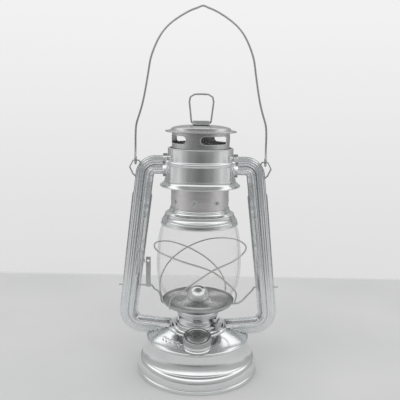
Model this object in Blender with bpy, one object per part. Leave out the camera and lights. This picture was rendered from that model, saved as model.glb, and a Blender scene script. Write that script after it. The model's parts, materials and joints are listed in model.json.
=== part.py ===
"""Barn lantern of tinned sheet, with its side tubes, burner, globe lift, sliding chimney and bail.

Sizes are in millimetres and are turned into metres when a mesh is made. The tank stands on z = 0,
the axis of the lantern is Z, the filler cap faces -Y and the side tubes lie along X.
"""

import math

import bmesh
import bpy
from mathutils import Matrix, Vector

MM = 0.001

# clearances and stock
GAP = 0.3  # between pieces that touch
SLIDE_GAP = 0.5  # between pieces that slide on each other
SHEET = 0.6  # tinned sheet
TUBE_SHEET = 0.5
ROUND_STEPS = 20
SMALL_STEPS = 16

# tank
WALL_HEIGHT = 33.3
FOOT_FLARE = 9.4  # the foot's radius over the shoulder's
FOOT_BAND = 7.0
FLOOR_RECESS = 3.0
DOME_RISE = 12.3

# filler
FILLER_CLEAR = 2.0  # between the cap and the burner's collar
FILLER_TILT = 13.5  # degrees from upright, towards -Y
CAP_RADIUS = 13.6
CAP_HEIGHT = 5.0
CAP_STAND = 15.2  # the cap's top above the shoulder
NECK_WALL = 0.7
THREAD_GAP = 0.9  # between the neck and the cap's skirt
GASKET = 1.2

# burner
BURNER_RADIUS = 20.5
BURNER_HEIGHT = 17.2
COLLAR_WALL = 1.2
COLLAR_HEIGHT = 2.8
CONE_RADIUS = 11.6
CONE_HEIGHT = 13.2
WICK_WIDTH = 10.0
WICK_THICK = 1.8
WICK_PLAY = 0.4
WICK_TUBE_WALL = 0.5
WICK_LENGTH = 70.0
WICK_SHOWS = 0.9  # the wick's tip below the cone's top
SHAFT_AZIMUTH = 65.0  # degrees from -Y towards +X
SHAFT_RADIUS = 0.9
SHAFT_RISE = 4.6  # the shaft above the foot of the burner
SPUR_RADIUS = 3.4
SPUR_TEETH = 10
KNOB_RADIUS = 5.3
KNOB_THICK = 2.2
KNOB_STANDS = 4.1  # the knob's middle outside the burner

# globe and its plate
GLOBE_RADIUS = 40.8
GLOBE_FOOT_RADIUS = 31.2
GLOBE_HEIGHT = 83.6
GLASS = 1.6
PLATE_EDGE = 3.8  # the plate's rim outside the globe's foot
PLATE_DEPTH = 4.4
PLATE_RIBS = 2
PLATE_HOLES = 12
GUARD_WIRE = 0.75  # wire radii
GUARD_STANDS = 5.6  # the outer guard wire's reach over the globe's radius
GUARD_STAGGER = 2.6  # the inner guard wire's reach is this much less
GUARD_RISE = 56.0
GUARD_TURN = 15.0  # degrees, the crossing's place beside the front

# globe lift
LIFT_AXIS_RISE = 12.6  # the cranked wire's axis above the plate
LIFT_WIRE = 0.9
LIFT_LOOP_EDGE = 4.0  # the rear loop's radius over the burner's
LEVER_WIDTH = 4.6
LEVER_LENGTH = 29.0
LEVER_SHEET = 0.8
STUB_SHOWS = 4.8  # the wire's end outside the tube

# chimney, cap and hood
CHIMNEY_RADIUS = 27.4
CHIMNEY_LENGTH = 55.4
GALLERY_FLARE = 7.0  # the globe's mouth over the chimney's radius
GALLERY_BAND = 3.6
VENT_COUNT = 8
VENT_RADIUS = 2.1
CAP_BAND_INSET = 1.0
CAP_BAND_HEIGHT = 21.0
CAP_BRIM = 7.2
CAP_RISE = 5.8
SLOT_COUNT = 4
SLOT_SPAN = 62.0  # degrees
SLOT_HEIGHT = 7.8
HOOD_ROOM = 3.5  # the hood's upper part outside the chimney, for the spring
HOOD_STEP = 2.0  # the lower part over the upper
HOOD_BEAD = 1.1
HOOD_LENGTH = 31.7
HOOD_UPPER = 14.0
HOOD_LIFT = 27.2  # the hood's foot above the chimney's foot
SKIRT_FLARE = 5.3
SKIRT_HEIGHT = 7.2
SPRING_WIRE = 0.5
SPRING_TURNS = 4.5

# ring on the cap
SADDLE_WIDTH = 15.6
SADDLE_HEIGHT = 3.7
SADDLE_LENGTH = 20.6
RING_WIRE = 0.85
RING_HEIGHT = 26.8
RING_WIDTH = 23.4

# side tubes
TUBE_WIDTH = 18.8
TUBE_DEPTH = 12.8
TUBE_BEND = 14.6
TUBE_TOP_CLEAR = 5.2  # the tube's middle line outside the guard, at its upper corner and at its lower one
TUBE_FOOT_CLEAR = 23.6
TUBE_FOOT_RISE = 12.6  # the lower corner above the shoulder
TUBE_FOOT_FALL = 4.6  # how far the foot drops on its way to the dome
TUBE_TAPER = 0.1  # the foot is narrower than the top by this share
SEAM_WIDTH = 1.7
COLLAR_LIP = 1.1

# bail
BAIL_WIRE = 0.95
BAIL_EYE = 3.5
BAIL_STANDS = 9.7  # the bail's eyes outside the tube's middle line
BAIL_HEIGHT = 141.4  # its top above its pivot
EAR_WIDTH = 4.4
EAR_SHEET = 0.8

# levels and radii that follow from the sizes
COLLAR_RADIUS = BURNER_RADIUS + GAP + COLLAR_WALL
FILLER_REACH = COLLAR_RADIUS + FILLER_CLEAR + CAP_RADIUS
NECK_RADIUS = CAP_RADIUS - SHEET - THREAD_GAP
SHOULDER_RADIUS = FILLER_REACH + NECK_RADIUS
FOOT_RADIUS = SHOULDER_RADIUS + FOOT_FLARE
PLATE_RADIUS = GLOBE_FOOT_RADIUS + PLATE_EDGE
GLOBE_MOUTH_RADIUS = CHIMNEY_RADIUS + GALLERY_FLARE
GUARD_REACH = GLOBE_RADIUS + GUARD_STANDS
LIFT_LOOP_RADIUS = BURNER_RADIUS + LIFT_LOOP_EDGE
KNOB_REACH = BURNER_RADIUS + KNOB_STANDS
CAP_BAND_RADIUS = CHIMNEY_RADIUS - CAP_BAND_INSET
CAP_RIM_RADIUS = CAP_BAND_RADIUS + CAP_BRIM
HOOD_TOP_RADIUS = CHIMNEY_RADIUS + HOOD_ROOM
HOOD_RADIUS = HOOD_TOP_RADIUS + HOOD_STEP
SKIRT_RADIUS = HOOD_RADIUS + SKIRT_FLARE
TUBE_TOP_SPREAD = GUARD_REACH + TUBE_TOP_CLEAR  # corners of the tube's middle line, from the lantern's axis
TUBE_FOOT_SPREAD = GUARD_REACH + TUBE_FOOT_CLEAR
BAIL_SPREAD = TUBE_TOP_SPREAD + BAIL_STANDS
PLATE_HOLE = CONE_RADIUS + 0.9
SHAFT_OFFSET = WICK_THICK / 2 + GAP + SPUR_RADIUS
DOME_Z = WALL_HEIGHT + GAP
DOME_TOP_Z = DOME_Z + DOME_RISE
COLLAR_Z = DOME_TOP_Z + GAP
BURNER_Z = COLLAR_Z + GAP
BURNER_TOP_Z = BURNER_Z + BURNER_HEIGHT
RISER_TOP_Z = BURNER_TOP_Z + 7.0
CONE_Z = RISER_TOP_Z + GAP
CONE_TOP_Z = CONE_Z + CONE_HEIGHT
SHAFT_Z = BURNER_Z + SHAFT_RISE
PLATE_TOP_Z = CONE_Z + 0.9
PLATE_LOW_Z = PLATE_TOP_Z - PLATE_DEPTH
LIFT_AXIS_Z = PLATE_TOP_Z + LIFT_AXIS_RISE
GLOBE_Z = PLATE_LOW_Z + SHEET + GAP
GLOBE_TOP_Z = GLOBE_Z + GLOBE_HEIGHT
GALLERY_STEP_Z = GLOBE_TOP_Z + GAP + SHEET
CHIMNEY_Z = GALLERY_STEP_Z + 8.4
CHIMNEY_TOP_Z = CHIMNEY_Z + CHIMNEY_LENGTH
CAP_BAND_TOP_Z = CHIMNEY_TOP_Z + GAP + CAP_BAND_HEIGHT
HOOD_Z = CHIMNEY_Z + HOOD_LIFT
HOOD_TOP_Z = HOOD_Z + HOOD_LENGTH
BEAD_Z = HOOD_TOP_Z - HOOD_UPPER
SPRING_SEAT_Z = HOOD_Z + 3.6
CAP_TOP_Z = CAP_BAND_TOP_Z + GAP + SHEET + 2.5
TUBE_TOP_Z = HOOD_Z + 0.47 * HOOD_LENGTH
TUBE_FOOT_Z = WALL_HEIGHT + TUBE_FOOT_RISE
RING_Z = CAP_TOP_Z + 0.75 + RING_WIRE


# materials


def material(name, colour, roughness, metallic, alpha=1.0):
    made = bpy.data.materials.new(name)
    made.use_nodes = True
    shader = made.node_tree.nodes["Principled BSDF"]
    shader.inputs["Base Color"].default_value = (*colour, 1.0)
    shader.inputs["Roughness"].default_value = roughness
    shader.inputs["Metallic"].default_value = metallic
    shader.inputs["Alpha"].default_value = alpha
    return made


def materials():
    return {
        "tinplate": material("tinplate", (0.74, 0.76, 0.76), 0.25, 1.0),
        "brushed": material("brushed_sheet", (0.62, 0.62, 0.62), 0.42, 1.0),
        "wire": material("plated_wire", (0.55, 0.55, 0.54), 0.25, 1.0),
        "glass": material("globe_glass", (0.95, 0.93, 0.93), 0.03, 0.0, 0.3),
        "cotton": material("wick_cotton", (0.86, 0.83, 0.75), 0.95, 0.0),
        "cork": material("gasket_rubber", (0.06, 0.06, 0.06), 0.8, 0.0),
        "steel": material("spring_steel", (0.45, 0.45, 0.46), 0.35, 1.0),
    }


# mesh helpers


def finish(bm, name, look, smooth=32.0):
    """Turns a bmesh drawn in millimetres into the named object."""
    bmesh.ops.remove_doubles(bm, verts=bm.verts, dist=1e-4)
    bmesh.ops.recalc_face_normals(bm, faces=bm.faces)
    bmesh.ops.scale(bm, vec=(MM, MM, MM), verts=bm.verts)
    mesh = bpy.data.meshes.new(name)
    bm.to_mesh(mesh)
    bm.free()
    mesh.materials.append(look)
    mesh.shade_smooth()
    mesh.set_sharp_from_angle(angle=math.radians(smooth))
    made = bpy.data.objects.new(name, mesh)
    bpy.context.scene.collection.objects.link(made)
    return made


def frame_at(name, place, turn=None):
    """An empty on a joint's axis, which the pieces of one moving body are parented to."""
    empty = bpy.data.objects.new(name, None)
    bpy.context.scene.collection.objects.link(empty)
    empty.matrix_world = Matrix.Translation(Vector(place) * MM) @ (turn or Matrix.Identity(4))
    return empty


def hold(piece, empty):
    """Parents a piece drawn in world places to an empty, without moving it."""
    piece.parent = empty
    piece.matrix_parent_inverse = empty.matrix_world.inverted()
    return piece


def offset(points, distance, closed=False):
    """The line of points moved sideways: to its left where distance is positive."""
    moved = []
    for i, (x, y) in enumerate(points):
        sides = []
        for a, b in ((i - 1, i), (i, i + 1)):
            if closed:
                a, b = a % len(points), b % len(points)
            elif a < 0 or b >= len(points):
                continue
            dx, dy = points[b][0] - points[a][0], points[b][1] - points[a][1]
            length = math.hypot(dx, dy)
            sides.append((-dy / length, dx / length))
        nx, ny = sum(s[0] for s in sides), sum(s[1] for s in sides)
        size = math.hypot(nx, ny)
        nx, ny = nx / size, ny / size
        miter = distance / max(0.6, nx * sides[0][0] + ny * sides[0][1])
        moved.append((x + nx * miter, y + ny * miter))
    return moved


def sheet(points, thickness):
    """A closed outline: the line of points as one face of a sheet, with its thickness to the left."""
    return list(points) + offset(points, thickness)[::-1]


def turned(outline, steps=ROUND_STEPS):
    """A bmesh of the closed (radius, height) outline turned round Z. Points by the axis are put on it."""
    bm = bmesh.new()
    verts = [bm.verts.new((r if r > 0.3 else 0.0, 0, z)) for r, z in outline]
    edges = [bm.edges.new((a, b)) for a, b in zip(verts, verts[1:] + verts[:1]) if a.co.x or b.co.x]
    bmesh.ops.spin(bm, geom=verts + edges, cent=(0, 0, 0), axis=(0, 0, 1), angle=2 * math.pi,
                   steps=steps, use_merge=True)
    bmesh.ops.dissolve_degenerate(bm, edges=bm.edges, dist=1e-4)
    return bm


def slab(outline, low, high):
    """A bmesh of the closed (x, y) outline, raised from low to high along Z."""
    bm = bmesh.new()
    face = bm.faces.new([bm.verts.new((x, y, low)) for x, y in outline])
    raised = bmesh.ops.extrude_face_region(bm, geom=[face])
    tops = [v for v in raised["geom"] if isinstance(v, bmesh.types.BMVert)]
    bmesh.ops.translate(bm, vec=(0, 0, high - low), verts=tops)
    return bm


def turn_bm(bm, matrix):
    bmesh.ops.transform(bm, matrix=matrix, verts=bm.verts)
    return bm


def swept(outline, route):
    """A bmesh of the closed (across, depth) outline carried along (place, across) pairs; depth is Y."""
    bm = bmesh.new()
    ring = []
    for place, across in route:
        spots = [place + across * u + Vector((0, v, 0)) for u, v in outline]
        if not ring:
            ring = [bm.verts.new(spot) for spot in spots]
            bm.faces.new(ring)
            continue
        edges = [bm.edges.get((a, b)) or bm.edges.new((a, b)) for a, b in zip(ring, ring[1:] + ring[:1])]
        made = bmesh.ops.extrude_edge_only(bm, edges=edges)["geom"]
        fresh = [g for g in made if isinstance(g, bmesh.types.BMVert)]
        near = {}
        for vert in fresh:
            near[min(range(len(ring)), key=lambda k: (ring[k].co - vert.co).length)] = vert
        ring = [near[k] for k in range(len(outline))]
        for vert, spot in zip(ring, spots):
            vert.co = spot
    bm.faces.new(ring[::-1])
    return bm


def wire(name, points, radius, look, closed=False):
    """A round wire along the points."""
    data = bpy.data.curves.new(name, "CURVE")
    data.dimensions = "3D"
    data.bevel_depth = radius * MM
    data.bevel_resolution = 1
    data.use_fill_caps = True
    line = data.splines.new("POLY")
    line.points.add(len(points) - 1)
    for point, place in zip(line.points, points):
        point.co = (*(Vector(place) * MM), 1.0)
    line.use_cyclic_u = closed
    data.materials.append(look)
    made = bpy.data.objects.new(name, data)
    bpy.context.scene.collection.objects.link(made)
    return made


def bent(corners, radius, steps=4):
    """A line through the corners, with each inner corner as an arc of the radius."""
    points = [Vector(corners[0])]
    for before, corner, after in zip(corners, corners[1:], corners[2:]):
        before, corner, after = Vector(before), Vector(corner), Vector(after)
        back, on = (before - corner), (after - corner)
        half = back.angle(on) / 2
        run = min(radius / math.tan(half), 0.45 * back.length, 0.45 * on.length)
        start, end = corner + back.normalized() * run, corner + on.normalized() * run
        centre = corner + (back.normalized() + on.normalized()).normalized() * run / math.cos(half)
        first, last = (start - centre).normalized(), (end - centre).normalized()
        for k in range(steps + 1):
            points.append(centre + first.slerp(last, k / steps) * run * math.tan(half))
    points.append(Vector(corners[-1]))
    return points


def smooth_line(points, spans=4, closed=False):
    """A Catmull-Rom curve through the points."""
    points = [Vector(p) for p in points]
    count = len(points)
    line = []
    for i in range(count if closed else count - 1):
        if closed:
            a, b, c, d = (points[(i + k) % count] for k in (-1, 0, 1, 2))
        else:
            a, b, c, d = (points[min(max(i + k, 0), count - 1)] for k in (-1, 0, 1, 2))
        for k in range(spans):
            t = k / spans
            line.append(0.5 * (2 * b + (c - a) * t + (2 * a - 5 * b + 4 * c - d) * t ** 2
                               + (3 * b - a - 3 * c + d) * t ** 3))
    if not closed:
        line.append(points[-1])
    return line


def cutter(bm, name):
    made = finish(bm, name, bpy.data.materials[0])
    made.hide_render = True
    made.display_type = "WIRE"
    return made


def cut(piece, tool):
    modifier = piece.modifiers.new("cut", "BOOLEAN")
    modifier.operation = "DIFFERENCE"
    modifier.solver = "EXACT"
    modifier.object = tool
    return piece


def rod(radius, start, end, steps=12):
    """A bmesh of a round bar between two places."""
    start, end = Vector(start), Vector(end)
    bm = bmesh.new()
    bmesh.ops.create_cone(bm, cap_ends=True, segments=steps, radius1=radius, radius2=radius,
                          depth=(end - start).length)
    turn = (end - start).to_track_quat("Z", "Y").to_matrix().to_4x4()
    return turn_bm(bm, Matrix.Translation((start + end) / 2) @ turn)


def oblong(width, thick, corner_steps=4):
    """A flat tube's outline: straight sides and half-round ends."""
    radius = thick / 2
    run = width / 2 - radius
    points = []
    for side in (1, -1):
        for k in range(corner_steps + 1):
            angle = math.pi * k / corner_steps - math.pi / 2
            points.append((side * (run + radius * math.cos(angle)), side * radius * math.sin(angle)))
    return points


def around_z(degrees):
    return Matrix.Rotation(math.radians(degrees), 4, "Z")


# an outline's x, y to Y, Z, raised along X; and to X, Z, raised along Y
TO_YZ = Matrix(((0, 0, 1, 0), (1, 0, 0, 0), (0, 1, 0, 0), (0, 0, 0, 1)))
TO_XZ = Matrix(((1, 0, 0, 0), (0, 0, 1, 0), (0, 1, 0, 0), (0, 0, 0, 1)))
MIRROR_X = Matrix.Scale(-1, 4, (1, 0, 0))
MIRROR_Y = Matrix.Scale(-1, 4, (0, 1, 0))


# tank


def dome_line():
    """The dome's upper face, from its rim to the hole under the burner."""
    rim = SHOULDER_RADIUS
    start, end = (rim - 2.2, DOME_Z + 2.0), (COLLAR_RADIUS + 5.2, DOME_TOP_Z - 2.7)
    slope = [(start[0] + (end[0] - start[0]) * t, start[1] + (end[1] - start[1]) * t + crown)
             for t, crown in ((0.0, 0.0), (0.33, 0.5), (0.67, 0.4), (1.0, 0.0))]
    return ([(rim + 0.4, DOME_Z + SHEET), (rim - 0.9, DOME_Z + SHEET)] + slope
            + [(COLLAR_RADIUS + 1.7, DOME_TOP_Z - 1.2), (COLLAR_RADIUS + 0.3, DOME_TOP_Z),
               (BURNER_RADIUS - 3.7, DOME_TOP_Z)])


def build_tank(look):
    foot, rim, band, bead = FOOT_RADIUS, SHOULDER_RADIUS, FOOT_BAND, FOOT_BAND + 8.8
    rise = WALL_HEIGHT - bead
    wall = [(foot - 1.8, 0.0), (foot - 0.3, 0.0), (foot, band - 1.0), (foot - 0.9, band),
            (foot - 1.6, band + 4.8), (foot - 4.7, bead), (rim + 1.8, bead + 0.3 * rise),
            (rim + 0.3, bead + 0.6 * rise), (rim, WALL_HEIGHT)]
    finish(turned(sheet(wall, SHEET)), "tank_wall", look)
    floor = FLOOR_RECESS
    finish(turned([(0, floor), (foot - 1.4, floor), (foot - 1.4, floor + SHEET), (0, floor + SHEET)]),
           "tank_floor", look)
    dome = finish(turned(sheet(dome_line(), SHEET)), "tank_dome", look)
    line = offset(dome_line(), -GAP)
    under = [(line[0][0], line[0][1] - 12)] + line + [(0, line[-1][1]), (0, line[0][1] - 12)]
    under_dome = cutter(turned(under), "space_under_dome")

    filler = filler_matrix()
    neck_top = -(0.7 + SHEET + GAP + GASKET + GAP)
    neck = turned([(NECK_RADIUS - NECK_WALL, -14), (NECK_RADIUS, -14), (NECK_RADIUS, neck_top),
                   (NECK_RADIUS - NECK_WALL, neck_top)], SMALL_STEPS)
    cut(finish(turn_bm(neck, filler), "filler_neck", look), under_dome)
    mouth = rod(NECK_RADIUS - NECK_WALL - GAP, (0, 0, -20), (0, 0, 4), SMALL_STEPS)
    cut(dome, cutter(turn_bm(mouth, filler), "filler_mouth"))
    return under_dome


def filler_matrix():
    place = Vector((0, -FILLER_REACH, WALL_HEIGHT + CAP_STAND))
    return Matrix.Translation(place) @ Matrix.Rotation(math.radians(FILLER_TILT), 4, "X")


def build_filler_cap(look, rubber):
    filler = filler_matrix()
    edge = CAP_RADIUS
    shell = [(edge, -CAP_HEIGHT), (edge, -0.9), (edge - 0.9, 0.0), (edge - 1.7, 0.0), (edge - 2.5, -0.7),
             (edge - 6.5, -0.1), (0, 0.4)]
    turn = frame_at("filler_cap_turn", filler.translation, filler.to_3x3().to_4x4())
    hold(finish(turn_bm(turned(sheet(shell, SHEET), SMALL_STEPS), filler), "filler_cap", look), turn)
    top = -(0.7 + SHEET + GAP)
    reach = edge - SHEET - GAP
    disc = turned([(0, top - GASKET), (reach, top - GASKET), (reach, top), (0, top)], SMALL_STEPS)
    hold(finish(turn_bm(disc, filler), "filler_gasket", rubber), turn)


# burner


def build_burner(looks):
    radius, foot, top = BURNER_RADIUS, BURNER_Z, BURNER_TOP_Z
    collar = [(radius + GAP, COLLAR_Z), (COLLAR_RADIUS, COLLAR_Z), (COLLAR_RADIUS, COLLAR_Z + COLLAR_HEIGHT),
              (radius + GAP, COLLAR_Z + COLLAR_HEIGHT)]
    finish(turned(collar, SMALL_STEPS), "burner_collar", looks["tinplate"])
    body = [(radius - 3.2, foot), (radius, foot), (radius, top - 2.2), (radius - 1.4, top),
            (CONE_RADIUS + 0.6, top + 2.6), (CONE_RADIUS - 0.2, top + 3.6), (CONE_RADIUS - 0.2, RISER_TOP_Z)]
    body = finish(turned(sheet(body, SHEET), SMALL_STEPS), "burner_body", looks["tinplate"])
    cone = [(CONE_RADIUS, CONE_Z), (CONE_RADIUS - 0.2, CONE_Z + 2.4), (CONE_RADIUS - 1.4, CONE_Z + 6.4),
            (CONE_RADIUS - 4.0, CONE_Z + 10.4), (CONE_RADIUS - 7.8, CONE_TOP_Z - 0.6), (0, CONE_TOP_Z)]
    cone = finish(turned(sheet(cone, SHEET), SMALL_STEPS), "burner_cone", looks["tinplate"])
    across = around_z(SHAFT_AZIMUTH - 90)  # local X runs along the wick's width
    bore_width, bore_thick = WICK_WIDTH + 2 * WICK_PLAY, WICK_THICK + 2 * WICK_PLAY
    slot = slab(oblong(bore_width + 0.8, bore_thick + 0.6), CONE_Z + 9.4, CONE_TOP_Z + 3)
    cut(cone, cutter(turn_bm(slot, across), "cone_slot"))

    outer = oblong(bore_width + 2 * WICK_TUBE_WALL, bore_thick + 2 * WICK_TUBE_WALL)
    low, high = foot - 8, CONE_Z + 8
    tube = finish(turn_bm(slab(outer, low, high), across), "wick_tube", looks["tinplate"])
    bore = slab(oblong(bore_width, bore_thick), low - 2, high + 2)
    cut(tube, cutter(turn_bm(bore, across), "wick_bore"))
    window = slab([(-4.4, -4.0), (4.4, -4.0), (4.4, -WICK_THICK / 2), (-4.4, -WICK_THICK / 2)],
                  SHAFT_Z - SPUR_RADIUS - 0.7, SHAFT_Z + SPUR_RADIUS + 0.7)
    cut(tube, cutter(turn_bm(window, across), "spur_window"))

    tip = CONE_TOP_Z - WICK_SHOWS
    wick = slab(oblong(WICK_WIDTH, WICK_THICK, 2), tip - WICK_LENGTH, tip)
    finish(turn_bm(wick, across), "wick", looks["cotton"])

    def along(run):
        """A place on the shaft's axis, that far from the middle of the wick."""
        return across @ Vector((run, -SHAFT_OFFSET, SHAFT_Z))

    cut(body, cutter(rod(SHAFT_RADIUS + 0.4, along(radius - 6), along(radius + 4)), "shaft_hole"))
    turn = frame_at("wick_shaft_turn", along(0), across)
    knob_face = KNOB_REACH - KNOB_THICK / 2
    hold(finish(rod(SHAFT_RADIUS, along(-5.6), along(knob_face - GAP)), "wick_shaft", looks["steel"]), turn)
    star = [(SPUR_RADIUS * (1.0 if k % 2 else 0.78) * math.cos(math.pi * k / SPUR_TEETH),
             SPUR_RADIUS * (1.0 if k % 2 else 0.78) * math.sin(math.pi * k / SPUR_TEETH))
            for k in range(2 * SPUR_TEETH)]
    shaft_space = cutter(rod(SHAFT_RADIUS + GAP, along(-9), along(9)), "shaft_space")
    for name, run in (("spur_wheel_inner", -2.9), ("spur_wheel_outer", 2.9)):
        wheel = turn_bm(slab(star, -0.8, 0.8), Matrix.Translation(along(run)) @ across @ TO_YZ)
        cut(hold(finish(wheel, name, looks["steel"], smooth=20), turn), shaft_space)
    lobes = [((KNOB_RADIUS - 0.25 + 0.25 * math.cos(k * math.pi)) * math.cos(math.pi * k / 14),
              (KNOB_RADIUS - 0.25 + 0.25 * math.cos(k * math.pi)) * math.sin(math.pi * k / 14))
             for k in range(28)]
    knob = slab(lobes, -KNOB_THICK / 2, KNOB_THICK / 2)
    knob = turn_bm(knob, Matrix.Translation(along(KNOB_REACH)) @ across @ TO_YZ)
    hold(finish(knob, "wick_knob", looks["tinplate"], smooth=20), turn)


# globe, plate, guard and lift


def build_globe(looks):
    rim, low, top, foot = PLATE_RADIUS, PLATE_LOW_Z + SHEET, PLATE_TOP_Z, GLOBE_FOOT_RADIUS
    inner = foot - GLASS - 1.3
    plate = [(rim - 0.55, top), (rim - 0.75, top - 2.2), (rim - 2.4, low), (inner + 0.7, low),
             (inner, top - 1.4)]
    ribs = 2 * PLATE_RIBS
    for k in range(ribs + 1):
        radius = inner - 1.0 - (inner - 1.0 - PLATE_HOLE - 1.0) * k / ribs
        plate.append((radius, top - 0.6 + (0.25 if k % 2 else -0.25)))
    plate.append((PLATE_HOLE, top - 1.5))
    plate = finish(turned(sheet(plate, SHEET)), "globe_plate", looks["tinplate"], smooth=25)
    draught = bmesh.new()
    reach = (inner - 1.0 + PLATE_HOLE + 1.0) / 2 + 1.2
    for k in range(PLATE_HOLES):
        place = around_z(360 * (k + 0.5) / PLATE_HOLES) @ Vector((reach, 0, top - 1))
        spot = bmesh.ops.create_cone(draught, cap_ends=True, segments=6, radius1=1.3, radius2=1.3, depth=6)
        bmesh.ops.translate(draught, vec=place, verts=spot["verts"])
    cut(plate, cutter(draught, "draught_holes"))

    belly, mouth = GLOBE_RADIUS, GLOBE_MOUTH_RADIUS
    shape = [(0.0, 0.0), (0.075, -0.01), (0.105, 0.05), (0.155, 0.38), (0.225, 0.77), (0.345, 0.94),
             (0.48, 1.0)]
    glass = [(foot + (belly - foot) * swell, GLOBE_Z + GLOBE_HEIGHT * rise) for rise, swell in shape]
    shape = [(0.62, 0.94), (0.75, 0.76), (0.88, 0.40), (0.945, 0.13), (1.0, 0.0)]
    glass += [(mouth + (belly - mouth) * swell, GLOBE_Z + GLOBE_HEIGHT * rise) for rise, swell in shape]
    finish(turned(sheet(glass, GLASS)), "globe", looks["glass"])

    # azimuth from the crossing, and share of the guard's rise
    start, low = PLATE_RADIUS + 0.05 + GAP + GUARD_WIRE + 0.1, PLATE_TOP_Z - 2.8
    route = [(-62, 0.0), (-57, 0.13), (-50, 0.27), (-26, 0.51), (0, 0.78), (32, 0.91), (75, 0.985), (115, 1.0),
             (150, 0.93), (180, 0.77), (208, 0.56), (230, 0.34), (241, 0.16), (245, 0.0)]
    reaches = {"guard_wire_outer": (1, GUARD_REACH), "guard_wire_inner": (-1, GUARD_REACH - GUARD_STAGGER)}
    for name, (side, reach) in reaches.items():
        points = []
        for azimuth, rise in route:
            radius = start + (reach - start) * rise ** 0.6
            angle = math.radians(side * azimuth + GUARD_TURN)
            points.append((radius * math.sin(angle), -radius * math.cos(angle), low + GUARD_RISE * rise))
        wire(name, smooth_line(points, 3), GUARD_WIRE, looks["wire"])


def build_lift(looks):
    """The cranked wire that raises the globe plate, its thumb lever and the catch on the left tube."""
    axis, rim, loop = LIFT_AXIS_Z, PLATE_RADIUS, LIFT_LOOP_RADIUS
    under = PLATE_LOW_Z - GAP - LIFT_WIRE - 0.1
    drop = rim + 0.05 + SLIDE_GAP + LIFT_WIRE
    stub = tube_edges(axis)[1] + STUB_SHOWS
    half = [(loop, 1.5, under - 3.0), (rim - 4.4, 0.6, under), (rim - 0.8, 0.0, under),
            (drop, 0, under + 2.6), (drop + 0.8, 0, under + 8.5)]
    left = half + [(drop + 3.6, 0, axis - 5.4), (drop + 6.0, 0, axis - 4.6), (drop + 8.4, 0, axis - 1.2),
                   (drop + 9.6, 0, axis), (stub, 0, axis)]
    right = half[:2] + [(rim + 2.0, 0, under + 0.3), (rim + 5.6, 0, under + 1.4), (rim + 9.5, 0, under + 4.4),
                        (rim + 13.5, 0, under + 9.4), (rim + 17.2, 0, axis - 5.0),
                        (rim + 19.0, 0, axis - 2.4), (rim + 20.2, 0, axis), (stub, 0, axis)]
    back = [(loop * math.cos(angle), loop * math.sin(angle), under - 3.0 - 5.6 * math.sin(angle))
            for angle in (math.pi * k / 8 for k in range(1, 8))]
    corners = [(-x, y, z) for x, y, z in reversed(left)] + back[::-1] + right
    turn = frame_at("lift_turn", (0, 0, axis))
    points = smooth_line(corners[1:-1], 2)
    points = [Vector(corners[0])] + points + [Vector(corners[-1])]
    hold(wire("lift_wire", points, LIFT_WIRE, looks["wire"]), turn)

    inside = -(drop + 10.2)
    bend = LIFT_WIRE + GAP
    lever = [(bend, axis + 3.0), (bend, axis), (bend * 0.7, axis - bend * 0.7), (0.01, axis - bend),
             (-bend * 0.7, axis - bend * 0.7), (-bend, axis), (-bend, axis + LEVER_LENGTH)]
    lever = slab(sheet(lever[::-1], -LEVER_SHEET), inside - LEVER_WIDTH, inside)
    lever = hold(finish(turn_bm(lever, TO_YZ), "lift_lever", looks["tinplate"]), turn)
    across, high = inside - LEVER_WIDTH / 2, axis + LEVER_LENGTH - 4
    hole = rod(1.2, (across, -6, high), (across, 2, high))
    cut(lever, cutter(hole, "thumb_hole"))

    face = -(TUBE_DEPTH / 2 + GAP + 0.55)
    edge = tube_edges(axis + 26)[0]
    catch = [(-edge - 6.2, face, axis + 12), (-edge - 6.0, face, axis + 20), (-edge - 5.6, face, axis + 32),
             (-edge - 4.0, face, axis + 36.4), (-edge - 1.8, face, axis + 36.6),
             (-edge - 0.2, face + 0.1, axis + 33), (-edge + 0.8, face + 1.2, axis + 28),
             (-edge + 1.2, face + 3.0, axis + 23.4)]
    wire("lever_catch", smooth_line(catch, 3), 0.55, looks["wire"])


# chimney, cap and hood


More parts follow.
